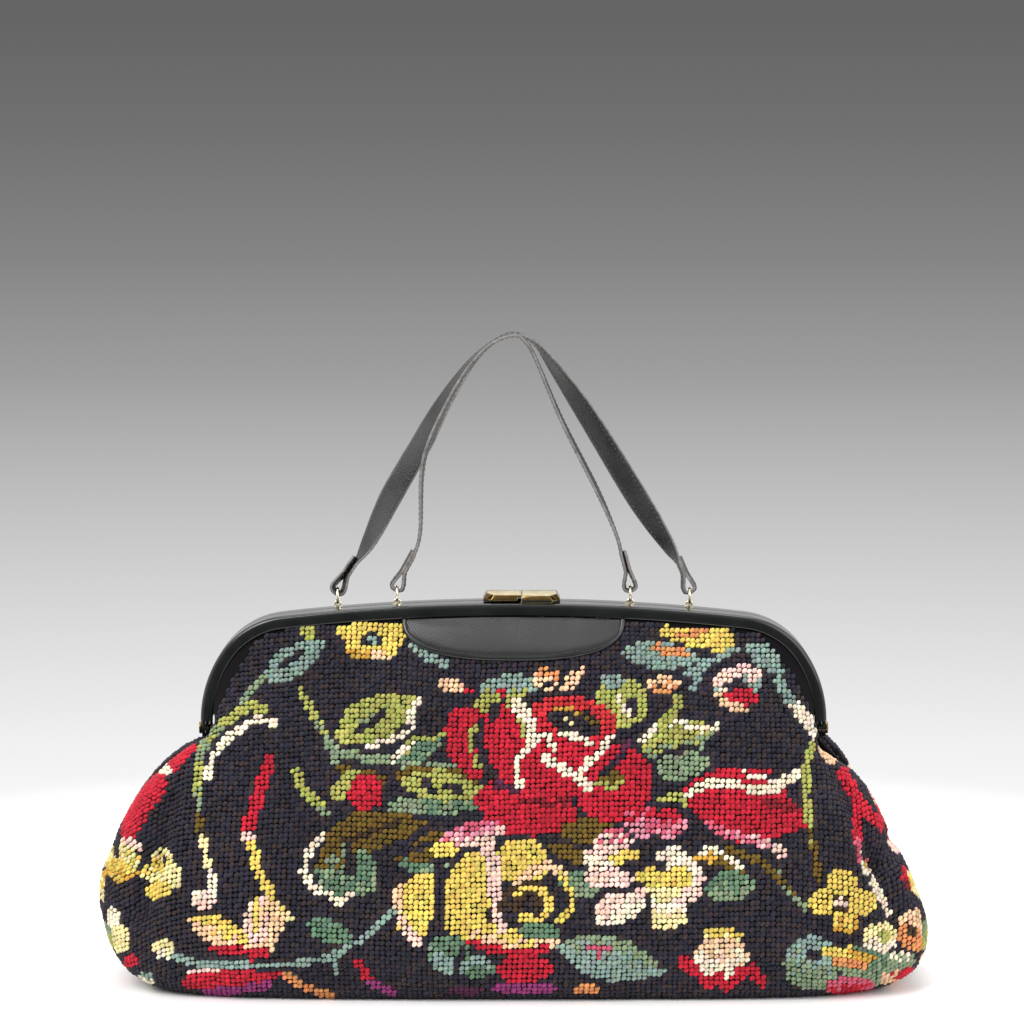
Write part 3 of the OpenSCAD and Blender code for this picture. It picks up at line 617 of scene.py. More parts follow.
WOOLS = {
    "ground": "#28232e", "ground_brown": "#302628", "ground_blue": "#1f1e2a", "crimson": "#ac182c",
    "scarlet": "#b6282f", "deep_red": "#781522", "rose_pink": "#bb5268", "pink": "#cc8593",
    "pale_pink": "#d9b8ac", "cream": "#dbcfb8", "pale_peach": "#d9b490", "peach": "#c88452",
    "yellow": "#cdb558", "pale_yellow": "#d9cc94", "ochre": "#b98e38", "olive": "#5f4a18",
    "umber": "#3a2a1c", "leaf_green": "#98994f", "sage": "#76866a", "dark_green": "#56715a",
    "teal": "#7b8f87", "purple": "#823066", "plum": "#4c1f3a",
}
LEAF_TAPER = 0.85
VINE_SPARE = 1.2


def oval(u, v, x, y, wide, tall, turn=0):
    """Inside an oval of those half sizes, and the share from its top to its foot."""
    turn = math.radians(turn)
    right = ((u - x) * math.cos(turn) + (v - y) * math.sin(turn)) / wide
    down = ((v - y) * math.cos(turn) - (u - x) * math.sin(turn)) / tall
    return np.hypot(right, down) < 1, down / 2 + 0.5


def leaf(u, v, x0, y0, x1, y1, wide):
    """Inside a pointed leaf from root to tip, and the share across it."""
    run = math.hypot(x1 - x0, y1 - y0)
    along = ((u - x0) * (x1 - x0) + (v - y0) * (y1 - y0)) / run ** 2
    across = ((v - y0) * (x1 - x0) - (u - x0) * (y1 - y0)) / run
    half = wide / 2 * np.sin(math.pi * np.clip(along, 0, 1) ** LEAF_TAPER)
    return (np.abs(across) < half) & (along > 0) & (along < 1), across / np.maximum(2 * half, 1) + 0.5


def vine(u, v, wide, *places):
    """Inside a line of stitches through places, and the share along it."""
    points = list(zip(places[::2], places[1::2]))
    best = np.full(len(u), np.inf)
    share = np.zeros(len(u))
    for k, (a, b) in enumerate(zip(points, points[1:])):
        gap, part = segment_distance(u, v, a, b)
        nearer = gap < best
        best = np.where(nearer, gap, best)
        share = np.where(nearer, (k + part) / (len(points) - 1), share)
    return best < wide / 2 + VINE_SPARE, share


# Each shape has its wools, in the order of its shares, and its numbers. Later shapes lie over earlier ones.
ROSE = (
    (oval, "crimson", 471, 743, 25, 37, -20), (oval, "crimson", 497, 800, 22, 16),
    (oval, "crimson", 546, 764, 60, 57), (oval, "crimson", 531, 811, 48, 26),
    (oval, "crimson", 614, 784, 40, 37, -25), (oval, "crimson", 507, 741, 25, 40, -8),
    (oval, "scarlet scarlet crimson", 573, 723, 45, 27, 10), (vine, "ground", 6, 497, 706, 491, 721),
    (vine, "ground", 7, 481, 722, 479, 745, 486, 765, 498, 781),
    (vine, "leaf_green", 4, 474, 726, 471, 747, 478, 767), (oval, "ground", 575, 722, 28, 13, 12),
    (vine, "ochre olive", 3, 556, 707, 576, 712, 599, 724), (vine, "pale_yellow", 2, 563, 719, 572, 722),
    (vine, "plum ground", 5, 628, 742, 619, 760, 603, 775), (oval, "olive leaf_green", 611, 781, 16, 8, -12),
    (vine, "deep_red", 3, 524, 801, 548, 804, 574, 801), (vine, "ground", 3, 574, 799, 579, 815),
    (vine, "plum", 6, 499, 785, 518, 790), (vine, "leaf_green", 5, 510, 704, 520, 719, 526, 736),
    (vine, "cream", 10, 517, 705, 529, 720, 533, 740),
    (vine, "cream", 5, 516, 703, 530, 717, 536, 736, 527, 750, 516, 762, 516, 777, 521, 787),
    (vine, "cream", 4, 547, 736, 557, 752), (vine, "cream", 4, 562, 734, 579, 737, 592, 745),
    (vine, "cream", 7, 544, 757, 562, 768, 588, 786), (vine, "cream", 6, 577, 774, 598, 753, 612, 736),
)
ROSE_LEAVES = (
    (oval, "teal teal leaf_green", 509, 687, 29, 12, -4), (oval, "leaf_green", 488, 705, 13, 15),
    (oval, "crimson", 502, 693, 5, 4), (oval, "leaf_green", 622, 703, 27, 25),
    (oval, "teal", 612, 681, 13, 8), (oval, "ground", 630, 708, 6, 11),
    (vine, "cream", 4, 618, 698, 627, 713), (leaf, "leaf_green leaf_green sage", 641, 750, 717, 729, 48),
    (oval, "sage", 682, 766, 28, 14, -8), (vine, "ground", 4, 658, 756, 676, 750, 694, 748),
    (vine, "cream", 4, 640, 742, 654, 727, 678, 722, 702, 731, 717, 727),
    (vine, "leaf_green", 7, 678, 697, 676, 711, 664, 723), (oval, "pale_peach peach", 664, 685, 16, 9),
    (oval, "ground", 660, 687, 4, 3), (oval, "peach pale_peach", 546, 679, 15, 11),
    (leaf, "pale_peach", 560, 693, 587, 664, 15), (oval, "ground", 549, 684, 5, 5),
    (oval, "pale_peach", 452, 685, 13, 7, 10), (oval, "crimson", 470, 691, 6, 4),
)
LEFT_LEAVES = (
    (vine, "leaf_green leaf_green sage", 6, 300, 690, 312, 712, 325, 733, 337, 766),
    (leaf, "leaf_green", 333, 738, 420, 698, 46), (vine, "ground", 5, 358, 730, 371, 723, 384, 714),
    (vine, "sage", 3, 362, 722, 372, 717),
    (vine, "cream", 4, 420, 699, 409, 714, 413, 728, 388, 742, 368, 746),
    (vine, "sage", 8, 336, 752, 360, 757, 386, 761),
    (leaf, "leaf_green dark_green sage", 391, 766, 446, 734, 28),
    (vine, "cream", 4, 392, 764, 400, 752, 412, 744),
    (vine, "olive", 13, 402, 776, 430, 772, 456, 772, 474, 775),
    (vine, "sage", 4, 430, 765, 442, 764, 455, 766),
    (vine, "dark_green sage dark_green", 13, 424, 805, 448, 807, 478, 804),
    (leaf, "leaf_green", 398, 781, 492, 792, 32), (vine, "ground", 6, 425, 782, 432, 791),
    (vine, "ground", 6, 448, 786, 460, 790), (oval, "sage", 406, 808, 21, 10),
    (vine, "olive", 5, 340, 770, 366, 772, 384, 780), (leaf, "leaf_green", 332, 800, 362, 768, 22),
    (oval, "crimson", 366, 792, 18, 19), (oval, "pale_pink", 364, 795, 2, 2),
    (vine, "leaf_green leaf_green sage", 7, 296, 771, 302, 788, 316, 801, 326, 813),
    (leaf, "olive", 326, 838, 424, 820, 40), (oval, "olive", 402, 829, 32, 11),
    (leaf, "olive", 392, 862, 466, 832, 24), (oval, "olive sage dark_green", 345, 868, 30, 30),
    (oval, "dark_green sage", 365, 874, 13, 22), (vine, "ground", 6, 349, 842, 350, 874),
    (vine, "umber", 4, 345, 842, 372, 832, 398, 822), (vine, "ground", 5, 398, 846, 414, 838, 428, 828),
    (vine, "ground", 4, 380, 858, 410, 850, 436, 843),
    (vine, "dark_green sage", 7, 404, 864, 424, 870, 446, 866),
    (vine, "cream", 6, 323, 836, 309, 853, 304, 872, 314, 889, 330, 893, 340, 905, 350, 893),
)
YELLOW_ROSE = (
    (oval, "rose_pink pink pale_pink", 473, 834, 33, 12, -12), (oval, "yellow", 446, 850, 15, 7),
    (oval, "olive", 588, 831, 29, 12), (leaf, "olive", 546, 846, 592, 862, 16),
    (oval, "dark_green sage", 583, 884, 23, 15), (oval, "yellow", 418, 906, 21, 36, 12),
    (vine, "pale_peach pale_pink", 8, 400, 886, 397, 908, 405, 926, 419, 944),
    (oval, "yellow", 467, 898, 24, 46, 10), (vine, "ground", 8, 438, 866, 440, 890, 438, 914, 433, 932),
    (oval, "yellow", 522, 862, 28, 24), (oval, "yellow pale_peach", 502, 938, 32, 14, 14),
    (vine, "pale_pink", 12, 487, 843, 492, 864, 494, 886, 498, 908, 502, 926),
    (oval, "umber ground", 528, 906, 29, 25), (oval, "dark_green", 540, 931, 21, 9),
    (vine, "pale_peach", 7, 518, 882, 534, 869, 551, 865, 564, 875),
    (vine, "yellow", 5, 514, 895, 526, 887, 540, 888, 550, 899, 549, 912, 536, 919, 522, 918),
    (vine, "yellow", 5, 560, 873, 571, 892, 570, 911, 560, 921), (oval, "pale_peach", 548, 944, 15, 6),
    (vine, "crimson", 6, 472, 942, 494, 950, 520, 954, 546, 949), (oval, "crimson", 525, 969, 28, 14, -6),
    (oval, "dark_green teal", 450, 955, 24, 19, 20), (oval, "teal dark_green", 480, 967, 16, 11),
    (vine, "ground", 4, 462, 950, 455, 972), (leaf, "sage teal teal", 556, 946, 668, 972, 46),
    (vine, "rose_pink", 4, 590, 949, 611, 947), (vine, "rose_pink", 4, 598, 949, 598, 957),
    (oval, "purple", 525, 988, 32, 6), (oval, "peach", 587, 989, 16, 5), (oval, "plum", 466, 990, 18, 5),
)
WHITE_FLOWER = (
    (oval, "crimson rose_pink pink", 642, 821, 18, 17), (oval, "crimson rose_pink pink", 668, 824, 18, 15),
    (oval, "rose_pink pale_pink", 614, 839, 19, 11), (oval, "pale_pink cream", 604, 857, 21, 13),
    (oval, "pale_pink", 608, 878, 27, 11, 8), (oval, "pale_pink cream", 621, 906, 28, 17, -30),
    (oval, "cream pale_yellow", 667, 911, 21, 20), (oval, "cream pale_pink", 687, 881, 18, 24),
    (oval, "cream", 672, 858, 17, 11), (vine, "yellow", 9, 616, 859, 634, 855),
    (oval, "yellow", 656, 878, 22, 11), (oval, "yellow", 680, 877, 12, 11),
    (oval, "pale_yellow", 664, 893, 19, 8), (vine, "ground", 4, 602, 889, 624, 889, 642, 884),
    (vine, "ground", 6, 648, 898, 648, 917), (vine, "ground", 5, 638, 845, 652, 863, 664, 868),
    (vine, "ochre olive", 9, 700, 857, 720, 859, 738, 869),
    (vine, "cream", 4, 698, 852, 712, 849, 728, 857, 740, 868),
    (leaf, "dark_green sage", 703, 890, 760, 884, 32),
)
TULIP = (
    (vine, "leaf_green", 5, 662, 798, 680, 797, 690, 806, 702, 818),
    (leaf, "crimson", 683, 790, 812, 824, 74), (leaf, "crimson", 688, 784, 772, 772, 22),
    (leaf, "deep_red", 760, 802, 808, 811, 10),
    (vine, "cream", 6, 689, 794, 706, 784, 728, 782, 752, 789, 776, 790, 793, 778, 803, 769),
    (vine, "cream", 3, 742, 772, 757, 777, 775, 781, 792, 776),
    (vine, "rose_pink pink pale_pink", 7, 706, 822, 726, 834, 750, 839, 770, 844, 785, 856),
)
RIGHT_VINES = (
    (vine, "leaf_green", 6, 811, 744, 807, 766, 806, 790),
    (vine, "leaf_green olive", 5, 806, 790, 808, 822, 813, 842, 819, 878),
    (vine, "olive olive sage", 6, 726, 849, 757, 860, 776, 874, 790, 893, 806, 907),
    (oval, "yellow", 842, 900, 22, 18), (oval, "yellow", 840, 882, 16, 12),
    (oval, "yellow", 823, 902, 14, 14), (oval, "yellow", 862, 901, 14, 14),
    (oval, "yellow ochre", 845, 922, 14, 12), (oval, "umber", 841, 902, 10, 9),
    (oval, "pale_pink", 841, 902, 6, 5), (oval, "teal sage", 812, 963, 29, 27),
    (oval, "ground", 814, 955, 9, 5), (oval, "dark_green sage", 868, 964, 27, 21),
    (vine, "yellow ochre", 9, 827, 950, 850, 952, 870, 958), (vine, "peach", 5, 836, 961, 862, 965),
    (oval, "pale_yellow cream", 880, 937, 19, 15), (oval, "leaf_green", 884, 936, 6, 6),
    (oval, "rose_pink crimson", 850, 986, 24, 10), (oval, "yellow pale_yellow", 722, 937, 21, 10),
    (oval, "pale_peach cream", 721, 956, 28, 18),
    (vine, "crimson", 9, 684, 962, 700, 973, 708, 984, 719, 977, 727, 986, 738, 974, 752, 969, 762, 982),
    (vine, "cream", 4, 700, 966, 709, 974, 717, 962, 727, 975, 739, 961),
)
TOP_FLOWERS = (
    (oval, "yellow", 352, 632, 14, 12), (oval, "yellow", 373, 624, 14, 10),
    (oval, "yellow", 392, 636, 14, 14), (oval, "yellow ochre", 360, 650, 14, 10),
    (oval, "yellow pale_peach", 383, 653, 13, 9), (oval, "ground", 371, 640, 9, 7),
    (oval, "teal", 373, 640, 4, 4), (leaf, "teal", 264, 680, 327, 640, 32),
    (oval, "leaf_green", 308, 632, 9, 7), (vine, "ground", 4, 284, 665, 300, 654),
    (vine, "teal", 7, 415, 646, 430, 658, 446, 663), (leaf, "teal", 620, 651, 706, 660, 30),
    (vine, "peach", 7, 655, 648, 686, 655), (oval, "yellow", 676, 632, 15, 9),
    (oval, "peach yellow", 697, 638, 21, 8), (oval, "yellow", 718, 640, 18, 12),
    (vine, "teal", 5, 688, 672, 703, 668, 718, 657, 736, 649), (vine, "teal", 6, 700, 668, 694, 686),
    (leaf, "teal", 746, 644, 784, 672, 24), (oval, "pale_pink teal", 738, 683, 26, 18, -10),
    (oval, "ground", 736, 687, 12, 7), (oval, "crimson", 741, 698, 20, 9),
    (vine, "pale_peach", 5, 716, 694, 728, 706, 746, 710),
)
LEFT_SCROLL = (
    (vine, "sage", 5, 264, 677, 250, 693, 242, 706),
    (vine, "leaf_green leaf_green sage", 8, 264, 708, 248, 707, 226, 722, 208, 738, 200, 757),
    (vine, "cream", 6, 276, 725, 259, 718, 234, 732, 214, 754, 206, 778),
    (vine, "leaf_green sage", 5, 200, 762, 198, 790, 198, 816), (oval, "olive", 199, 822, 5, 10),
    (vine, "pale_yellow cream", 6, 202, 835, 207, 860, 214, 888), (oval, "cream pale_pink", 203, 899, 12, 11),
    (vine, "crimson", 11, 270, 759, 260, 788, 248, 830), (oval, "pale_pink", 248, 836, 7, 5),
    (vine, "yellow", 9, 253, 845, 256, 866, 267, 888),
    (vine, "yellow pale_yellow", 5, 267, 888, 278, 906, 292, 919),
    (leaf, "yellow pale_peach", 188, 918, 256, 948, 28),
    (leaf, "pale_peach pale_pink", 262, 893, 264, 962, 40), (vine, "yellow", 5, 257, 902, 256, 928),
    (vine, "crimson", 6, 214, 948, 240, 951, 268, 952), (leaf, "crimson", 180, 984, 268, 962, 28),
    (vine, "pale_pink", 4, 192, 972, 240, 964), (leaf, "crimson", 212, 988, 290, 971, 16),
    (vine, "purple", 6, 206, 992, 240, 989, 268, 985),
    (vine, "teal", 5, 172, 955, 200, 963, 262, 965, 290, 965, 330, 957, 352, 945, 375, 926, 392, 914),
    (vine, "teal", 5, 335, 957, 336, 972), (leaf, "dark_green", 306, 922, 356, 942, 24),
    (oval, "pale_yellow cream", 164, 949, 12, 10), (vine, "peach", 5, 286, 975, 306, 988, 332, 995),
    (vine, "crimson", 7, 359, 964, 371, 982), (vine, "purple", 5, 371, 982, 392, 992),
)
LEFT_CORNER = (
    (vine, "crimson", 15, 188, 746, 168, 768), (vine, "cream pale_peach", 9, 166, 770, 158, 778),
    (vine, "crimson", 23, 155, 785, 140, 806, 124, 832), (vine, "pale_pink", 7, 112, 840, 140, 846),
    (oval, "yellow", 162, 876, 10, 10), (oval, "pale_yellow yellow", 161, 860, 12, 12),
    (oval, "pale_yellow", 173, 878, 11, 13), (oval, "yellow pale_yellow", 150, 873, 11, 10),
    (oval, "yellow", 158, 891, 14, 9), (oval, "pale_yellow yellow ochre", 122, 864, 18, 20),
    (oval, "cream", 112, 917, 8, 10), (oval, "pale_yellow", 120, 938, 11, 14),
    (oval, "crimson", 131, 961, 7, 6), (oval, "teal cream", 146, 978, 10, 6),
)
RIGHT_CORNER = (
    (vine, "teal cream", 9, 778, 681, 790, 700, 803, 717),
    (vine, "cream pale_peach", 9, 808, 722, 820, 745, 831, 761),
    (vine, "ochre pale_yellow", 6, 832, 748, 846, 762), (vine, "crimson", 10, 843, 774, 858, 803, 874, 820),
    (vine, "crimson", 7, 855, 795, 857, 840), (vine, "rose_pink cream", 6, 857, 842, 862, 858, 866, 872),
    (vine, "crimson pale_pink", 9, 880, 824, 896, 848), (oval, "crimson deep_red", 911, 875, 10, 15),
    (vine, "cream", 5, 872, 880, 880, 896, 889, 913), (oval, "pale_peach peach", 914, 930, 17, 21),
    (oval, "umber", 912, 932, 5, 5), (oval, "cream sage", 900, 960, 14, 10),
    (vine, "pale_peach crimson", 8, 884, 978, 908, 972),
)
FLOWERS = (ROSE_LEAVES + LEFT_LEAVES + ROSE + YELLOW_ROSE + WHITE_FLOWER + TULIP + RIGHT_VINES + TOP_FLOWERS
           + LEFT_SCROLL)
# Gussets: right is the distance from the gusset's middle, front to the left
GUSSET_FLOWERS = (
    (oval, "crimson", -64, 790, 48, 38, -40), (oval, "crimson", 64, 790, 48, 38, 40),
    (oval, "ochre pale_yellow", -74, 872, 26, 22), (oval, "ochre pale_yellow", 74, 872, 26, 22),
    (leaf, "crimson scarlet crimson", -84, 822, 4, 768, 46),
    (leaf, "crimson scarlet crimson", 84, 822, -4, 768, 46), (oval, "scarlet crimson", 0, 806, 26, 40),
    (vine, "cream pale_pink", 5, -52, 812, -24, 790, -6, 770),
    (vine, "cream pale_pink", 5, 52, 812, 24, 790, 6, 770), (vine, "deep_red", 5, -14, 842, 0, 822, 14, 842),
    (vine, "leaf_green olive", 6, 0, 848, 3, 866, 0, 884), (oval, "yellow pale_yellow", -36, 884, 22, 15),
    (oval, "yellow pale_yellow", 36, 884, 22, 15), (oval, "pale_yellow yellow", 0, 868, 18, 14),
    (oval, "yellow ochre", -21, 908, 19, 15), (oval, "yellow ochre", 21, 908, 19, 15),
    (oval, "umber", 0, 890, 12, 10), (oval, "pale_pink", 0, 890, 6, 5),
    (leaf, "sage leaf_green", -88, 936, -22, 924, 28), (leaf, "sage leaf_green", 88, 936, 22, 924, 28),
    (oval, "pale_peach cream", -62, 962, 16, 12), (oval, "pale_peach cream", 62, 962, 16, 12),
    (oval, "rose_pink crimson", 0, 956, 22, 14), (oval, "cream", 0, 950, 9, 6),
)
# Play in a stitch's lightness and hue, and in where one wool gives way to the next
WOOL_PLAY = 0.2
HUE_PLAY = 0.05
SHADE_PLAY = 0.26


def paint(wools, u, v, chart, chance):
    """Sets each stitch's wool by the last shape of the chart that holds it."""
    for shape, names, *numbers in chart:
        names = names.split()
        inside, share = shape(u, v, *numbers)
        pick = np.clip(((share + SHADE_PLAY * chance) * len(names)).astype(int), 0, len(names) - 1)
        for k, name in enumerate(names):
            wools[inside & (pick == k)] = name


def wool_colors(wools, random):
    """Linear colours of the stitches, each a little off its wool in lightness and hue."""
    table = {name: np.array(linear(value)) for name, value in WOOLS.items()}
    colors = np.array([table[name] for name in wools])
    colors[:, :3] *= random.uniform(1 - WOOL_PLAY, 1 + WOOL_PLAY, (len(wools), 1))
    colors[:, :3] *= random.normal(1, HUE_PLAY, (len(wools), 3))
    return colors


# Stitches by nodes

def stitch_nodes():
    """Tree that sets a plump slanted stitch on every point."""
    tree = bpy.data.node_groups.new("tent_stitches", "GeometryNodeTree")
    face = tree.interface
    face.new_socket("Geometry", in_out="INPUT", socket_type="NodeSocketGeometry")
    for name in ("Length", "Width", "Height", "Slant", "Slant Play"):
        face.new_socket(name, in_out="INPUT", socket_type="NodeSocketFloat")
    face.new_socket("Seed", in_out="INPUT", socket_type="NodeSocketInt")
    face.new_socket("Yarn", in_out="INPUT", socket_type="NodeSocketMaterial")
    face.new_socket("Geometry", in_out="OUTPUT", socket_type="NodeSocketGeometry")
    given = add(tree, "NodeGroupInput")
    bead = add(tree, "GeometryNodeMeshIcoSphere", {"Radius": 0.5, "Subdivisions": 1})
    soft = add(tree, "GeometryNodeSetShadeSmooth", {"Geometry": bead})
    normal, row = [add(tree, "GeometryNodeInputNamedAttribute", {"Name": name}, data_type="FLOAT_VECTOR")
                   for name in ("stitch_normal", "stitch_row")]
    upright = add(tree, "FunctionNodeAlignRotationToVector", {"Vector": normal}, axis="Z")
    level = add(tree, "FunctionNodeAlignRotationToVector", {"Rotation": upright, "Vector": row},
                axis="X", pivot_axis="Z")
    low, high = [add(tree, "ShaderNodeMath", {0: out(given, "Slant"), 1: out(given, "Slant Play")},
                     operation=step) for step in ("SUBTRACT", "ADD")]
    slant = add(tree, "FunctionNodeRandomValue", {"Min": low, "Max": high, "Seed": out(given, "Seed")},
                data_type="FLOAT")
    turn = add(tree, "FunctionNodeAxisAngleToRotation", {"Axis": (0, 0, 1), "Angle": slant})
    turned = add(tree, "FunctionNodeRotateRotation", {"Rotation": level, "Rotate By": turn},
                 rotation_space="LOCAL")
    size = add(tree, "ShaderNodeCombineXYZ", {
        "X": out(given, "Length"), "Y": out(given, "Width"), "Z": out(given, "Height")})
    plump = add(tree, "FunctionNodeRandomValue", {"Min": 0.86, "Max": 1.12, "Seed": out(given, "Seed")},
                data_type="FLOAT")
    scaled = add(tree, "ShaderNodeVectorMath", {0: size, "Scale": plump}, operation="SCALE")
    beads = add(tree, "GeometryNodeInstanceOnPoints", {
        "Points": out(given, "Geometry"), "Instance": soft, "Rotation": turned, "Scale": scaled})
    real = add(tree, "GeometryNodeRealizeInstances", {"Geometry": beads})
    dressed = add(tree, "GeometryNodeSetMaterial", {"Geometry": real, "Material": out(given, "Yarn")})
    add(tree, "NodeGroupOutput", {"Geometry": dressed})
    return tree


STITCH_TREE = stitch_nodes()
STITCH_SIZE = {"Length": 3.6, "Width": 2.6, "Height": 2.3}
STITCH_LIFT = 0.35
STITCH_LEAN = 0.1
FLOOR_PRESS = 0.05


def press_flat(mesh):
    """Wool that would pass below the floor is squashed flat on it by the bag's weight."""
    place = np.empty(len(mesh.vertices) * 3, np.float32)
    mesh.vertices.foreach_get("co", place)
    height = place[2::3]
    place[2::3] = np.where(height < 0, FLOOR_PRESS * height, height)
    mesh.vertices.foreach_set("co", place)
    mesh.update()


def stitches(name, places, colors, yarn, size, slant=45, play=9):
    """A piece of stitches at places (point, normal, row direction), in their colours."""
    mesh = bpy.data.meshes.new(name)
    mesh.from_pydata((places[:, 0:3] * MM).tolist(), [], [])
    for label, kind, field, values in (
            ("stitch_normal", "FLOAT_VECTOR", "vector", places[:, 3:6]),
            ("stitch_row", "FLOAT_VECTOR", "vector", places[:, 6:9]),
            ("stitch_color", "FLOAT_COLOR", "color", colors)):
        mesh.attributes.new(label, kind, "POINT").data.foreach_set(field, values.astype(np.float32).ravel())
    piece = bpy.data.objects.new(name, mesh)
    bpy.context.scene.collection.objects.link(piece)
    modifier = piece.modifiers.new("stitches", "NODES")
    modifier.node_group = STITCH_TREE
    given = {"Seed": SEED, "Yarn": yarn, "Slant": math.radians(slant), "Slant Play": math.radians(play)}
    given.update({key: value * MM for key, value in size.items()})
    for item in STITCH_TREE.interface.items_tree:
        if item.in_out == "INPUT" and item.name in given:
            modifier[item.identifier] = given[item.name]
    settle(piece)
    for label in ("stitch_normal", "stitch_row"):
        piece.data.attributes.remove(piece.data.attributes[label])
    press_flat(piece.data)
    return piece


# Cloth pieces

CHART_UNIT = 0.487
CHART_MIDDLE = 513
CHART_FOOT = 988
GUSSET_TURN = 0.85
# Shares of the ground's stitches that are browner, and bluer
BROWN_SHARE = 0.3
BLUE_SHARE = 0.4


def dress_half(face, panel, throat, gusset, throat_lining):
    """Canvas, stitches and lining of the front or the rear half."""
    label = "front" if face < 0 else "rear"
    grid, normal, across, bare, margins = cloth_grid(face)
    canvas = mesh_piece(label + "_canvas", *tucked_sheet(grid, normal, CANVAS_INSET, CLOTH_THICKNESS), SHADE_CANVAS)
    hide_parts(panel, throat, gusset)
    # The lining lies smooth under the stitched cloth, so every other row is enough
    rows = np.r_[0:len(grid) - 1:2, len(grid) - 1]
    sheet = tucked_sheet(grid[rows], normal[rows], LINING_INSET, LINING_THICKNESS)
    lining = mesh_piece(label + "_lining", *sheet, LINING)
    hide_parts(throat_lining)
    random = np.random.default_rng(SEED + face)
    places = stitch_lattice(grid, normal, across, STITCH_LIFT, random, bare, margins)
    chance = random.uniform(-1, 1, len(places))
    wools = np.full(len(places), "ground", dtype=object)
    flat_v = CHART_FOOT - places[:, 2] / CHART_UNIT
    if face < 0:
        paint(wools, *view_place(places[:, :3]), FLOWERS + LEFT_CORNER + RIGHT_CORNER, chance)
    else:
        paint(wools, CHART_MIDDLE - places[:, 0] / CHART_UNIT, flat_v, FLOWERS, chance)
    gusset_wools = np.full(len(places), "ground", dtype=object)
    paint(gusset_wools, places[:, 1] / CHART_UNIT, flat_v, GUSSET_FLOWERS, chance)
    on_gusset = np.abs(places[:, 3]) > GUSSET_TURN
    wools[on_gusset] = gusset_wools[on_gusset]
    worked = wools != "ground"
    tone = random.uniform(0, 1, len(places))
    wools[~worked & (tone < BROWN_SHARE)] = "ground_brown"
    wools[~worked & (tone > 1 - BLUE_SHARE)] = "ground_blue"
    places[:, 3:6] += random.normal(0, STITCH_LEAN, (len(places), 3))
    colors = wool_colors(wools, random)
    pieces = [canvas, lining]
    for part, chosen in (("flowers", worked), ("ground", ~worked)):
        pieces.append(stitches(f"{label}_{part}", places[chosen], colors[chosen], WOOL, STITCH_SIZE))
    for piece in pieces:
        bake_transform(piece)
    return grid


FRONT_GRID = dress_half(-1, "front_panel", "front_throat", "left_gusset", "front_throat_lining")
REAR_GRID = dress_half(1, "rear_panel", "rear_throat", "right_gusset", "rear_throat_lining")


BASE_HEIGHT = 1.3
BOARD_THICKNESS = 3
BASE_ROWS = 25
FLOOR_GAP = 0.2
FLOOR_THICKNESS = 0.6


def flat_slab(grid, low, thickness):
    """Points and faces of a level sheet with a grid's outline."""
    layers = [np.concatenate([grid[..., :2], np.full(grid.shape[:2] + (1,), float(height))], axis=2)
              for height in (low, low + thickness)]
    return slab(*layers)


def dress_base():
    """Stitched base with its board, and the lining's floor above it."""
    shares = np.linspace(0, 1, BASE_ROWS)[:, None, None]
    flat = FRONT_GRID[0] * (1 - shares) + REAR_GRID[0] * shares
    base = mesh_piece("base_canvas", *flat_slab(flat, BASE_HEIGHT, BOARD_THICKNESS), SHADE_CANVAS)
    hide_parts("base_panel", "base_board")
    floor_low = BASE_HEIGHT + BOARD_THICKNESS + FLOOR_GAP
    floor = mesh_piece("lining_floor", *flat_slab(flat, floor_low, FLOOR_THICKNESS), LINING)
    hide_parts("lining")
    half_x, half_y = np.abs(FRONT_GRID[0, :, :2]).max(axis=0) - STITCH_PITCH / 2
    x, y = np.meshgrid(np.arange(-half_x, half_x, STITCH_PITCH), np.arange(-half_y, half_y, STITCH_PITCH))
    inside = np.abs(x / half_x) ** SECTION_POWER + np.abs(y / half_y) ** SECTION_POWER < 1
    x, y = x[inside], y[inside]
    places = np.zeros((len(x), 9))
    places[:, 0], places[:, 1], places[:, 2] = x, y, BASE_HEIGHT
    places[:, 5], places[:, 6] = -1, 1
    colors = wool_colors(np.full(len(x), "ground", dtype=object), np.random.default_rng(SEED + 5))
    worked = stitches("base_stitches", places, colors, WOOL, STITCH_SIZE)
    for piece in (base, floor, worked):
        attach(piece, "bag")


# Pleats: how far they go below the notch, stay short of the hinge and fold in, and their cloth
PLEAT_ROWS = 16
PLEAT_COLUMNS = 21
PLEAT_BELOW = 2
PLEAT_SHORT = 3.5
PLEAT_INSET = 1.3
PLEAT_DEPTH = 16
PLEAT_SPARE = 0.6
PLEAT_THICKNESS = 1
PLEAT_LIFT = 0.1


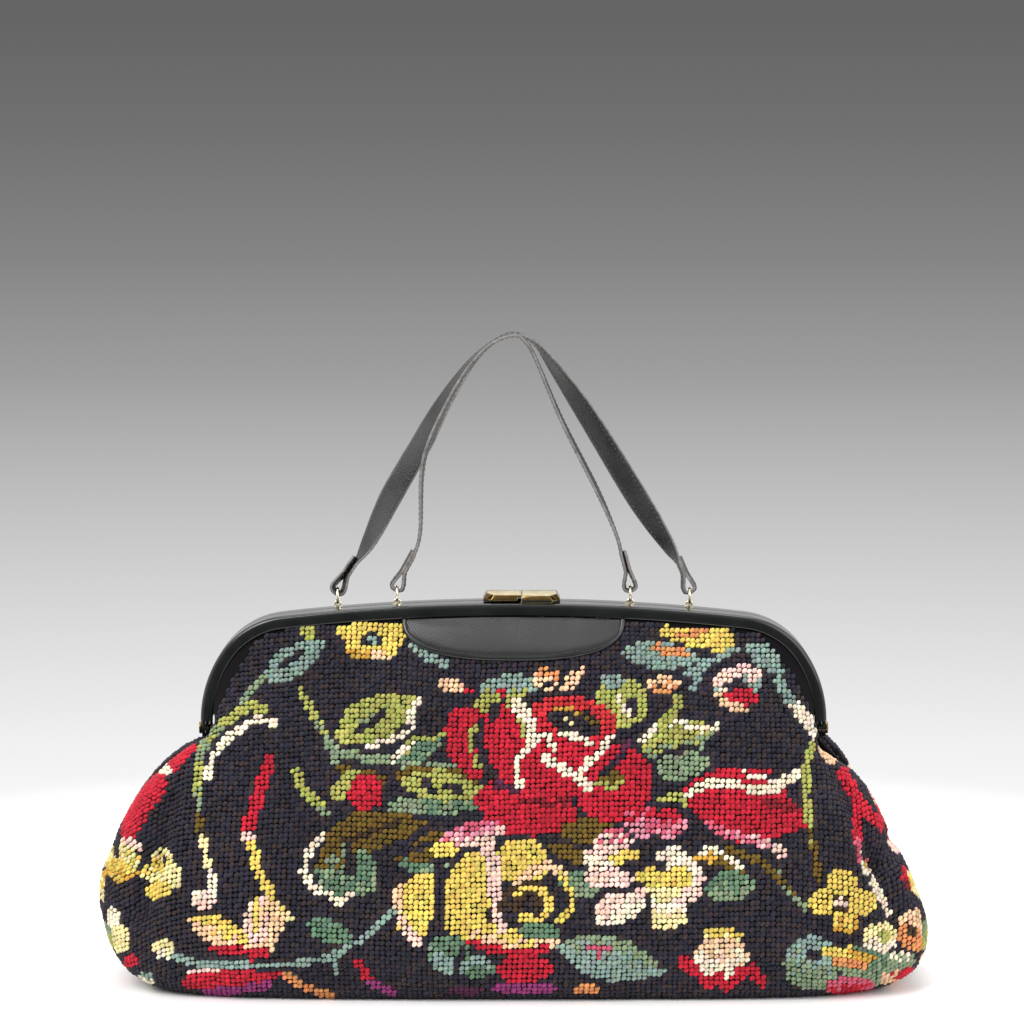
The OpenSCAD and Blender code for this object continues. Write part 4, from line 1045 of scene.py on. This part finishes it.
def dress_tuck(label, side):
    """The gusset's small inward pleat below a hinge, between the front and rear halves."""
    rows = []
    shares = LEFT_SHARES if side < 0 else RIGHT_SHARES
    across = np.linspace(-1, 1, PLEAT_COLUMNS)
    for z in np.linspace(NOTCH_FOOT - PLEAT_BELOW, HINGE - PLEAT_SHORT, PLEAT_ROWS):
        notch = notch_share(z)
        flank = side_width(z, shares) + (frame_point(0, CHANNEL_INSET)[0] - HALF_WIDTH * shares[-1]) * notch
        x = side * (flank - PLEAT_INSET - PLEAT_DEPTH * notch * (1 - across ** 2))
        rows.append(np.stack([x, across * (CHANNEL_Y * notch + PLEAT_SPARE), np.full_like(x, z)], axis=1))
    grid = np.array(rows)
    normal, row = grid_normals(grid, np.broadcast_to([side, 0, 0], grid.shape))
    sheet = slab(grid - normal * CANVAS_INSET, grid - normal * (CANVAS_INSET + PLEAT_THICKNESS))
    pleat = mesh_piece(label + "_pleat_canvas", *sheet, SHADE_CANVAS)
    random = np.random.default_rng(SEED + 8)
    places = stitch_lattice(grid, normal, row, PLEAT_LIFT, random)
    colors = wool_colors(np.full(len(places), "ground", dtype=object), random)
    worked = stitches(label + "_pleat_stitches", places, colors, WOOL, STITCH_SIZE)
    for piece in (pleat, worked):
        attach(piece, "bag")


dress_base()
dress_tuck("left", -1)
dress_tuck("right", 1)


# Half-frames

LIP_WALL = 0.8
# Hinge ears: the turns where their round starts and ends, in half circles, and how far they reach up the leg
EAR_STEPS = 25
EAR_START = 1.02
EAR_END = 2.3
EAR_RISE = 2
EAR_STEP = 0.5
FRAME_CREASE = 50
FRAME_PROFILE = (
    # inset from the outline, depth from the middle, corner radius
    (0, HALF_GAP / 2, 0.3), (0, FRAME_DEPTH, 2.2), (FRAME_FACE, FRAME_DEPTH, 0.7),
    (FRAME_FACE, FRAME_DEPTH - FRAME_WALL, 0.4), (FRAME_WALL, FRAME_DEPTH - FRAME_WALL, 0.3),
    (FRAME_WALL, LIP_FRONT, 0.3), (LIP_REACH, LIP_FRONT, 0.2), (LIP_REACH, LIP_FRONT - LIP_WALL, 0.2),
    (FRAME_WALL, LIP_FRONT - LIP_WALL, 0.3), (FRAME_WALL, HALF_GAP / 2, 0.3),
)


def rounded(corners, steps=5):
    """A closed outline with its corners rounded."""
    points = []
    for k, (x, y, radius) in enumerate(corners):
        here = np.array([x, y], float)
        before = np.array(corners[k - 1][:2]) - here
        after = np.array(corners[(k + 1) % len(corners)][:2]) - here
        start, end = here + unit(before) * radius, here + unit(after) * radius
        for t in np.linspace(0, 1, steps):
            points.append((1 - t) ** 2 * start + 2 * t * (1 - t) * here + t ** 2 * end)
    return np.array(points)


def half_frame(label, face, ear_outer):
    """A half-frame's channel along the arch, with the two hinge ears."""
    profile = rounded(FRAME_PROFILE)
    lines = np.array([frame_path(inset) for inset, _ in profile]).transpose(1, 0, 2)
    depths = np.broadcast_to(face * profile[:, 1], lines.shape[:2])
    points, faces = tube(np.stack([lines[..., 0], depths, lines[..., 1]], axis=2))
    points = points.tolist()
    turns = math.pi * np.linspace(EAR_START, EAR_END, EAR_STEPS)
    outline = [(EAR_RADIUS * math.cos(t), HINGE + EAR_RADIUS * math.sin(t)) for t in turns]
    ear_top = LEG_END + EAR_RISE
    outline += [(EAR_TONGUE, ear_top), (HALF_GAP / 2, ear_top), (-EAR_RADIUS, HINGE + EAR_STEP)]
    for side in (-1, 1):
        outer = [[side * ear_outer, face * y, z] for y, z in outline]
        inner = [[side * (ear_outer - FRAME_WALL), face * y, z] for y, z in outline]
        start, count = len(points), len(outline)
        points += outer + inner
        faces += [tuple(range(start, start + count)), tuple(range(start + count, start + 2 * count))]
        faces += [(start + k, start + (k + 1) % count, start + count + (k + 1) % count, start + count + k)
                  for k in range(count)]
    piece = mesh_piece(label + "_channel", points, faces, FRAME_COVER)
    piece.data.set_sharp_from_angle(angle=math.radians(FRAME_CREASE))
    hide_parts(label)
    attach(piece, label)


half_frame("front_frame", -1, HALF_FRAME)
half_frame("rear_frame", 1, HALF_FRAME - FRAME_WALL - EAR_GAP)


# Metal and leather fittings on the frames

# Clasp plates: a hipped roof on a skirt painted black as a painted dark reflection of the frame, with the two
# plates' edges drawn together at the meeting line
CLASP_ROOF = 3.8
CLASP_SLOPE = 0.16
CLASP_MEETING = 4
CLASP_TAPER = 0.08
CLASP_HIP = 0.09
MEETING_NEAR = 1
MEETING_CLOSE = 0.7
SKIRT_DROP = 0.2
TOP_TILT = 0.8
FLAT_ANGLE = 1
BEVEL_ANGLE = 30


def roof_plate(shell):
    """Slopes a clasp plate's top like a hipped roof, paints its skirt black as a painted dark reflection and
    its upward faces pale as a painted highlight, and closes its meeting edge.
    """
    top = max(v.co.z for v in shell.verts)
    eaves = top - CLASP_ROOF * MM
    for place, way in (((0, 0, eaves), (0, 0, 1)), ((0, 0, 0), (0, 1, 0))):
        bmesh.ops.bisect_plane(shell, geom=shell.verts[:] + shell.edges[:] + shell.faces[:], dist=1e-7,
                               plane_co=place, plane_no=way)
    meeting = CLASP_MEETING * MM
    outer = max((v.co.x for v in shell.verts), key=lambda x: abs(x - meeting))
    for vert in shell.verts:
        share = max(0, (vert.co.z - eaves) / (top - eaves))
        vert.co.y *= 1 - CLASP_TAPER * share
        vert.co.z -= CLASP_SLOPE * abs(vert.co.y) * share
        near = abs(vert.co.x - meeting)
        if near < MEETING_NEAR * MM:
            vert.co.x += (meeting - vert.co.x) * MEETING_CLOSE
        else:
            vert.co.x += (meeting - outer) * CLASP_HIP * share * (near / abs(outer - meeting))
    for face in shell.faces:
        face.normal_update()
        # Painted light: the skirt takes the black cover as a painted dark reflection, faces turned up take the
        # pale brass as a painted highlight, and the rest the darkened brass as painted shade
        skirt = face.calc_center_median().z < eaves - SKIRT_DROP * MM
        face.material_index = 1 if skirt else 2 * int(face.normal.z > TOP_TILT)


def finer_node(node, body, material, bevel=0.0, sharp=40, shape=None):
    """A merged copy of a CAD node with softened edges, in its place."""
    mesh = frame["nodes"][node].data.copy()
    mesh.materials.clear()
    # Slots for the clasp's painted light: the black cover for the skirt's painted dark reflection, the pale
    # brass for the top's painted highlight
    for skin in (material, FRAME_COVER, HIGHLIGHT_BRASS):
        mesh.materials.append(skin)
    shell = bmesh.new()
    shell.from_mesh(mesh)
    for face in shell.faces:
        face.material_index = 0
    bmesh.ops.remove_doubles(shell, verts=shell.verts, dist=WELD)
    bmesh.ops.dissolve_limit(shell, angle_limit=math.radians(FLAT_ANGLE), verts=shell.verts, edges=shell.edges)
    if shape:
        shape(shell)
    if bevel:
        edges = [e for e in shell.edges if e.is_manifold and e.calc_face_angle() > math.radians(BEVEL_ANGLE)]
        bmesh.ops.bevel(shell, geom=edges, offset=bevel * MM, segments=3, profile=0.5, affect="EDGES",
                        clamp_overlap=True)
    for face in shell.faces:
        face.smooth = True
    shell.to_mesh(mesh)
    shell.free()
    mesh.set_sharp_from_angle(angle=math.radians(sharp))
    piece = bpy.data.objects.new(node + "_fine", mesh)
    bpy.context.scene.collection.objects.link(piece)
    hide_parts(node)
    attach(piece, body)


finer_node("front_clasp_plate", "front_frame", SHADED_BRASS, bevel=0.3, shape=roof_plate)
finer_node("rear_clasp_plate", "rear_frame", SHADED_BRASS, bevel=0.3, shape=roof_plate)
finer_node("front_ring_posts", "front_frame", RING_METAL)
finer_node("rear_ring_posts", "rear_frame", RING_METAL)
finer_node("front_rings", "front_handle", RING_METAL, sharp=60)
finer_node("rear_rings", "rear_handle", RING_METAL, sharp=60)
finer_node("hinge_rivets", "bag", SHADED_BRASS, bevel=0.3)

# Half-moon patch: its outline, crown and rolled rim with painted shade darkening it, and the piping round it
PATCH_HALF = 55.5
PATCH_DROP = 21
PATCH_LIFT = 2.4
PATCH_CROWN = 2.8
PIPING_RADIUS = 1.4
MOON_POWER = 2.4
PATCH_TOP = 6.4
PATCH_COLUMNS = 81
PATCH_ROWS = 25
PATCH_END = 0.995
PATCH_SINK = 0.6
ROW_CROWDING = 1.6
RIM_POWER = 6
RIM_ROLL = 5 / 6
RIM_DROP = 0.3
CROWN_START = 0.45
CROWN_RISE = 2.2
RIM_SHADE = 2
RIM_SHADE_POWER = 4
PIPING_STEPS = 121
PIPING_SIDES = 14
PIPING_LIFT = 1.3
PIPING_WAY = (0.0, -0.9, 0.44)


def set_wear_and_painted_light(piece, values):
    """How much edge colour each point of a leather piece takes: painted shade on the patch, rubbed wear with a
    painted highlight on the straps.
    """
    wear_and_painted_light = piece.data.attributes.new("edge_wear_and_painted_light", "FLOAT", "POINT")
    wear_and_painted_light.data.foreach_set("value", values.astype(np.float32))


def on_throat(x, drop, lift):
    """A point on the throat's face, dropped below the frame and lifted off the cloth."""
    z = rail_height(x, PATCH_TOP) - drop
    return np.stack([x, -throat_depth(x, z) - lift, z], axis=-1)


def moon_half(share):
    """Half the patch's width at a share of its drop."""
    return PATCH_HALF * (1 - share ** MOON_POWER) ** (1 / MOON_POWER)


def half_moon_patch():
    """The half-moon of cross-grained leather below the frame, crowned, with a piping round its edge."""
    f, d = np.meshgrid(np.linspace(-1, 1, PATCH_COLUMNS), np.linspace(0, PATCH_END, PATCH_ROWS))
    d = 1 - (1 - d) ** ROW_CROWDING
    x = f * (moon_half(d) - PIPING_RADIUS)
    drop = d * (PATCH_DROP - PIPING_RADIUS)
    edge = np.maximum(np.abs(f), d)
    crown = (1 - (f ** RIM_POWER + d ** RIM_POWER) ** RIM_ROLL) * smooth_step(CROWN_START + CROWN_RISE * d)
    outer = on_throat(x, drop, PATCH_LIFT * (1 - RIM_DROP * edge ** RIM_POWER) + PATCH_CROWN * crown)
    patch = mesh_piece("half_moon_leather", *slab(outer, on_throat(x, drop, -PATCH_SINK)), PATCH_LEATHER)
    # Painted shade: the leather darkens towards its rim, and the hidden underside is fully darkened
    set_wear_and_painted_light(patch, np.concatenate([edge.ravel() ** RIM_SHADE_POWER * RIM_SHADE, np.ones(f.size)]))
    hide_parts("half_moon_patch")
    turn = np.linspace(0, math.pi, PIPING_STEPS)
    power = 2 / MOON_POWER
    x = (PATCH_HALF - PIPING_RADIUS) * np.sign(np.cos(turn)) * np.abs(np.cos(turn)) ** power
    path = on_throat(x, (PATCH_DROP - PIPING_RADIUS) * np.sin(turn) ** power, PIPING_LIFT)
    along = unit(np.gradient(path, axis=0))
    across = unit(np.cross(along, PIPING_WAY))
    away = np.cross(across, along)
    spin = np.linspace(0, math.tau, PIPING_SIDES, endpoint=False)[None, :, None]
    rings = path[:, None] + PIPING_RADIUS * (np.cos(spin) * across[:, None] + np.sin(spin) * away[:, None])
    piping = mesh_piece("half_moon_piping", *tube(rings), PIPING_LEATHER)
    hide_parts("patch_piping")
    for piece in (patch, piping):
        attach(piece, "front_frame")


half_moon_patch()


# Handles: leather straps folded back round their rings

# Straps: span of the rings, section, end loop, spread of the two handles, rounding, pale edges of rubbed wear
# with a painted highlight, and thread
FRONT_SPAN = 116
REAR_SPAN = 176
POST_Y = 4.2
STRAP_WIDTH = 12
STRAP_THICKNESS = 1.7
STRAP_END_WIDTH = 4.4
RING_RADIUS = 4
LOOP_RADIUS = 2.9
LAYER_GAP = 1.82
TAB_RISE = 3
LOOP_DROP = 1.9
LOOP_NECK = 9
SPREAD_Y = 7.7
SPREAD_RISE = 67.5
FOLD_START = 0.95
FOLD_STEPS = 16
LOOP_STEPS = 13
TAB_STEPS = 18
STRAP_SIDES = 32
EDGE_ROUND = 0.42
FACE_ROUND = 0.62
WEAR_AND_HIGHLIGHT_START = 0.8
WEAR_AND_HIGHLIGHT_SPAN = 0.18
WEAR_AND_HIGHLIGHT_POWER = 1.5
THREAD_SIZE = {"Length": 1.9, "Width": 0.55, "Height": 0.26}
THREAD_PITCH = 2.7
THREAD_END = 3
THREAD_INSET = 1.9
# share of the half span, share of the rise, turn as a share of a quarter, share of the full width
FRONT_STRAP = (
    (-0.86, 0.13, 0, 0.55), (-0.8, 0.23, 0, 0.8), (-0.785, 0.45, 0.04, 1), (-0.73, 0.57, 0.07, 1),
    (-0.57, 0.73, 0.07, 1), (-0.39, 0.87, 0.04, 1), (-0.2, 0.965, 0, 1), (0, 1, 0, 1), (0.1, 0.975, 0, 1),
    (0.19, 0.905, 0, 1), (0.41, 0.67, -0.04, 1), (0.72, 0.39, -0.07, 1), (0.88, 0.22, 0, 0.8),
    (0.93, 0.13, 0, 0.55),
)
REAR_STRAP = (
    (-0.9, 0.11, 0.11, 0.55), (-0.82, 0.2, 0.56, 0.8), (-0.69, 0.38, 0.8, 1), (-0.52, 0.58, 0.71, 1),
    (-0.4, 0.73, 0.44, 1), (-0.25, 0.88, 0.18, 1), (-0.12, 0.965, 0, 1), (0, 1, 0, 1), (0.12, 0.965, -0.09, 1),
    (0.22, 0.88, -0.29, 1), (0.42, 0.68, -0.62, 1), (0.7, 0.37, -0.8, 1), (0.88, 0.18, -0.51, 0.8),
    (0.94, 0.11, -0.11, 0.55),
)


def catmull_rom(rows, steps=10):
    """A smooth run through the rows of a table."""
    rows = np.asarray(rows, float)
    ends = np.concatenate([[2 * rows[0] - rows[1]], rows, [2 * rows[-1] - rows[-2]]])
    t = np.linspace(0, 1, steps, endpoint=False)[:, None]
    parts = []
    for a, b, c, d in zip(ends, ends[1:], ends[2:], ends[3:]):
        parts.append(0.5 * (2 * b + (c - a) * t + (2 * a - 5 * b + 4 * c - d) * t ** 2
                            + (3 * b - a - 3 * c + d) * t ** 3))
    return np.concatenate(parts + [rows[-1:]])


def strap_path(table, span, ring_z, tilts):
    """Rows of x, z, turn share and width share from one folded-back end to the other."""
    end_share = STRAP_END_WIDTH / STRAP_WIDTH
    wire_z = ring_z + 0.5 * (RING_RADIUS + math.sqrt(RING_RADIUS ** 2 - (STRAP_END_WIDTH / 2) ** 2))
    low = wire_z - LOOP_DROP
    run = catmull_rom(table)
    full_rise = HANDLE_TOP - low - STRAP_THICKNESS / 2
    run = np.stack([run[:, 0] * span / 2, low + run[:, 1] * full_rise, run[:, 2],
                    np.clip(run[:, 3], 0, 1)], axis=1)
    ends = []
    for side, first, tilt in ((-1, run[0], tilts[0]), (1, run[-1], tilts[1])):
        wire = np.array([side * span / 2, wire_z])
        start = first[:2]
        reach = np.linalg.norm(start - wire)
        away = (start - wire) / reach
        across = np.array([away[1], -away[0]]) * side

        def layer(height, sign):
            """A place on the inner (-1) or outer (1) layer, at a height above the ring's wire."""
            belly = smooth_step(1 - height / LOOP_NECK)
            aside = LAYER_GAP / 2 * (1 + sign) * (1 - belly) + sign * LOOP_RADIUS * belly
            share = np.clip(height / reach, 0, 1)
            turn = tilt if sign > 0 else tilt + (first[2] - tilt) * share
            wide = end_share + (first[3] - end_share) * math.sqrt(share)
            return [*(wire + away * height + across * aside), turn, wide]

        rows = [layer(height, -1) for height in np.linspace(reach * FOLD_START, 0, FOLD_STEPS)]
        for turn in np.linspace(0, math.pi, LOOP_STEPS)[1:-1]:
            place = wire - across * LOOP_RADIUS * math.cos(turn) - away * LOOP_DROP * math.sin(turn)
            rows.append([*place, tilt, end_share])
        rows += [layer(height, 1) for height in np.linspace(0, reach + TAB_RISE, TAB_STEPS)]
        ends.append(np.array(rows))
    return np.concatenate([ends[0][::-1], run, ends[1]]), low


def strap(label, face, table, span, ring_z, tilts):
    """A strap with rounded edges, paler along them with rubbed wear and a painted edge highlight, and a row of
    thread near each edge.
    """
    path, low = strap_path(table, span, ring_z, tilts)
    x, z, turn, wide = path.T
    rise = np.clip((z - low) / SPREAD_RISE, 0, 1)
    centre = np.stack([x, face * (POST_Y + (SPREAD_Y - POST_Y) * rise * (2 - rise)), z], axis=1)
    along = unit(np.gradient(path[:, :2], axis=0))
    flat = np.stack([-along[:, 1], 0 * x, along[:, 0]], axis=1)
    angle = (math.pi / 2 * turn * face)[:, None]
    depth_way = np.array([0.0, 1.0, 0.0])
    wide_way = depth_way * np.cos(angle) + flat * np.sin(angle)
    thin_way = flat * np.cos(angle) - depth_way * np.sin(angle)
    half = (STRAP_WIDTH / 2 * wide)[:, None]
    spin = np.linspace(0, math.tau, STRAP_SIDES, endpoint=False)
    across = np.sign(np.cos(spin)) * np.abs(np.cos(spin)) ** EDGE_ROUND
    lift = np.sign(np.sin(spin)) * np.abs(np.sin(spin)) ** FACE_ROUND
    rings = (centre[:, None] + wide_way[:, None] * (across[None, :, None] * half[:, None])
             + thin_way[:, None] * (lift * STRAP_THICKNESS / 2)[None, :, None])
    piece = mesh_piece(label + "_leather", *tube(rings), STRAP_LEATHER)
    # Pale edges: rubbed wear together with a painted highlight along the rounded edges
    wear_and_painted_light = np.clip((np.abs(across) - WEAR_AND_HIGHLIGHT_START) / WEAR_AND_HIGHLIGHT_SPAN, 0, 1) ** WEAR_AND_HIGHLIGHT_POWER
    set_wear_and_painted_light(piece, np.tile(wear_and_painted_light, len(rings)))
    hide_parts(label)
    length = run_length(centre)
    even = np.arange(THREAD_END, length[-1] - THREAD_END, THREAD_PITCH)
    inset = np.maximum(half - THREAD_INSET, half / 2)
    rows = []
    for edge in (-1, 1):
        for side in (-1, 1):
            seam = centre + wide_way * edge * inset + thin_way * side * STRAP_THICKNESS / 2
            tangent = unit(np.gradient(seam, axis=0))
            rows.append(sample(even, length, np.concatenate([seam, thin_way * side, tangent], axis=1)))
    rows = np.concatenate(rows)
    thread = stitches(label + "_thread", rows, np.ones((len(rows), 4)), THREAD, THREAD_SIZE, slant=0, play=4)
    body = label.replace("strap", "handle")
    for part in (piece, thread):
        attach(part, body)


strap("front_strap", -1, FRONT_STRAP, FRONT_SPAN, joint_place("front_handle_swing")[2], (0.1, -0.1))
strap("rear_strap", 1, REAR_STRAP, REAR_SPAN, joint_place("rear_handle_swing")[2], (0.3, -0.12))


# Floor, light and camera, in metres

FLOOR_RADIUS = 0.64
FLOOR_SIDES = 96
FADE_START = 0.35
FADE_END = 0.62
# Backdrop: heights of the looking direction, and greys at shares of the way from foot to top
WALL_FOOT = -0.206
WALL_TOP = 0.0505
WALL_GREYS = ((0, "#ffffff"), (0.14, "#f0f0f0"), (0.285, "#d9d9d9"), (0.43, "#bebebe"), (0.57, "#9e9e9e"),
              (0.715, "#848484"), (0.86, "#717171"), (1, "#646464"))
# Name, place, size and power
LAMPS = (("key", (-0.9, -1.1, 1.5), 1.1, 30), ("fill", (1.2, -1.3, 0.9), 1.4, 14),
         ("top", (0.1, 0.3, 1.7), 1.2, 14))
LAMP_AIM = (0, 0, 0.15)


def studio():
    """White floor that fades out, grey backdrop light, soft key from the upper left and a fill."""
    scene = bpy.context.scene
    scene.view_settings.view_transform = "Standard"
    material, tree, place = new_material("matt_white_floor")
    far = add(tree, "ShaderNodeVectorMath", {"Vector": place}, operation="LENGTH")
    fade = add(tree, "ShaderNodeMapRange", {
        "Value": far, "From Min": FADE_START, "From Max": FADE_END, "To Min": 1.0, "To Max": 0.0},
        interpolation_type="SMOOTHSTEP")
    shader = add(tree, "ShaderNodeBsdfPrincipled", {
        "Base Color": linear("#f4f3f2"), "Roughness": 0.6, "Alpha": fade})
    add(tree, "ShaderNodeOutputMaterial", {"Surface": shader})
    turns = np.linspace(0, math.tau, FLOOR_SIDES, endpoint=False)
    mesh = bpy.data.meshes.new("floor")
    mesh.from_pydata([(FLOOR_RADIUS * math.cos(t), FLOOR_RADIUS * math.sin(t), 0) for t in turns], [],
                     [tuple(range(FLOOR_SIDES))])
    mesh.materials.append(material)
    floor = bpy.data.objects.new("floor", mesh)
    scene.collection.objects.link(floor)

    world = bpy.data.worlds.new("studio")
    scene.world = world
    world.use_nodes = True
    tree = world.node_tree
    tree.nodes.clear()
    way = add(tree, "ShaderNodeSeparateXYZ", {"Vector": out(add(tree, "ShaderNodeTexCoord"), "Generated")})
    height = add(tree, "ShaderNodeMapRange", {
        "Value": out(way, "Z"), "From Min": WALL_FOOT, "From Max": WALL_TOP})
    wall = add(tree, "ShaderNodeValToRGB", {"Fac": height})
    stops = wall.color_ramp.elements
    stops[0].color, stops[1].color = linear(WALL_GREYS[0][1]), linear(WALL_GREYS[-1][1])
    for position, color in WALL_GREYS[1:-1]:
        stops.new(position).color = linear(color)
    seen = add(tree, "ShaderNodeBackground", {"Color": wall, "Strength": 1.0})
    dome = add(tree, "ShaderNodeMapRange", {
        "Value": out(way, "Z"), "From Min": -0.2, "From Max": 0.9, "To Min": 0.4, "To Max": 1.05},
        interpolation_type="SMOOTHSTEP")
    sides = add(tree, "ShaderNodeMath", {0: out(way, "X"), 1: out(way, "X"), 2: dome}, operation="MULTIPLY_ADD")
    behind = add(tree, "ShaderNodeMapRange", {
        "Value": out(way, "Y"), "From Min": -1.0, "From Max": 1.0, "To Min": -0.28, "To Max": 0.15})
    whole = add(tree, "ShaderNodeMath", {0: sides, 1: behind}, operation="ADD")
    lit = add(tree, "ShaderNodeBackground", {"Color": (1, 1, 1, 1), "Strength": whole})
    camera_ray = out(add(tree, "ShaderNodeLightPath"), "Is Camera Ray")
    mixed = add(tree, "ShaderNodeMixShader", {"Fac": camera_ray, 1: lit, 2: seen})
    add(tree, "ShaderNodeOutputWorld", {"Surface": mixed})

    for name, place, size, power in LAMPS:
        light = bpy.data.lights.new(name, "AREA")
        light.size = size
        light.energy = power
        lamp = bpy.data.objects.new(name, light)
        lamp.location = place
        lamp.rotation_euler = (Vector(LAMP_AIM) - Vector(place)).to_track_quat("-Z", "Y").to_euler()
        scene.collection.objects.link(lamp)

    lens = bpy.data.cameras.new("camera")
    lens.sensor_width = SENSOR
    lens.lens = EYE_FOCUS / PHOTO_SIDE * SENSOR
    camera = bpy.data.objects.new("camera", lens)
    camera.location = np.array(EYE) * MM
    camera.rotation_euler = (math.pi / 2 - EYE_TILT, 0, 0)
    scene.collection.objects.link(camera)
    scene.camera = camera


studio()
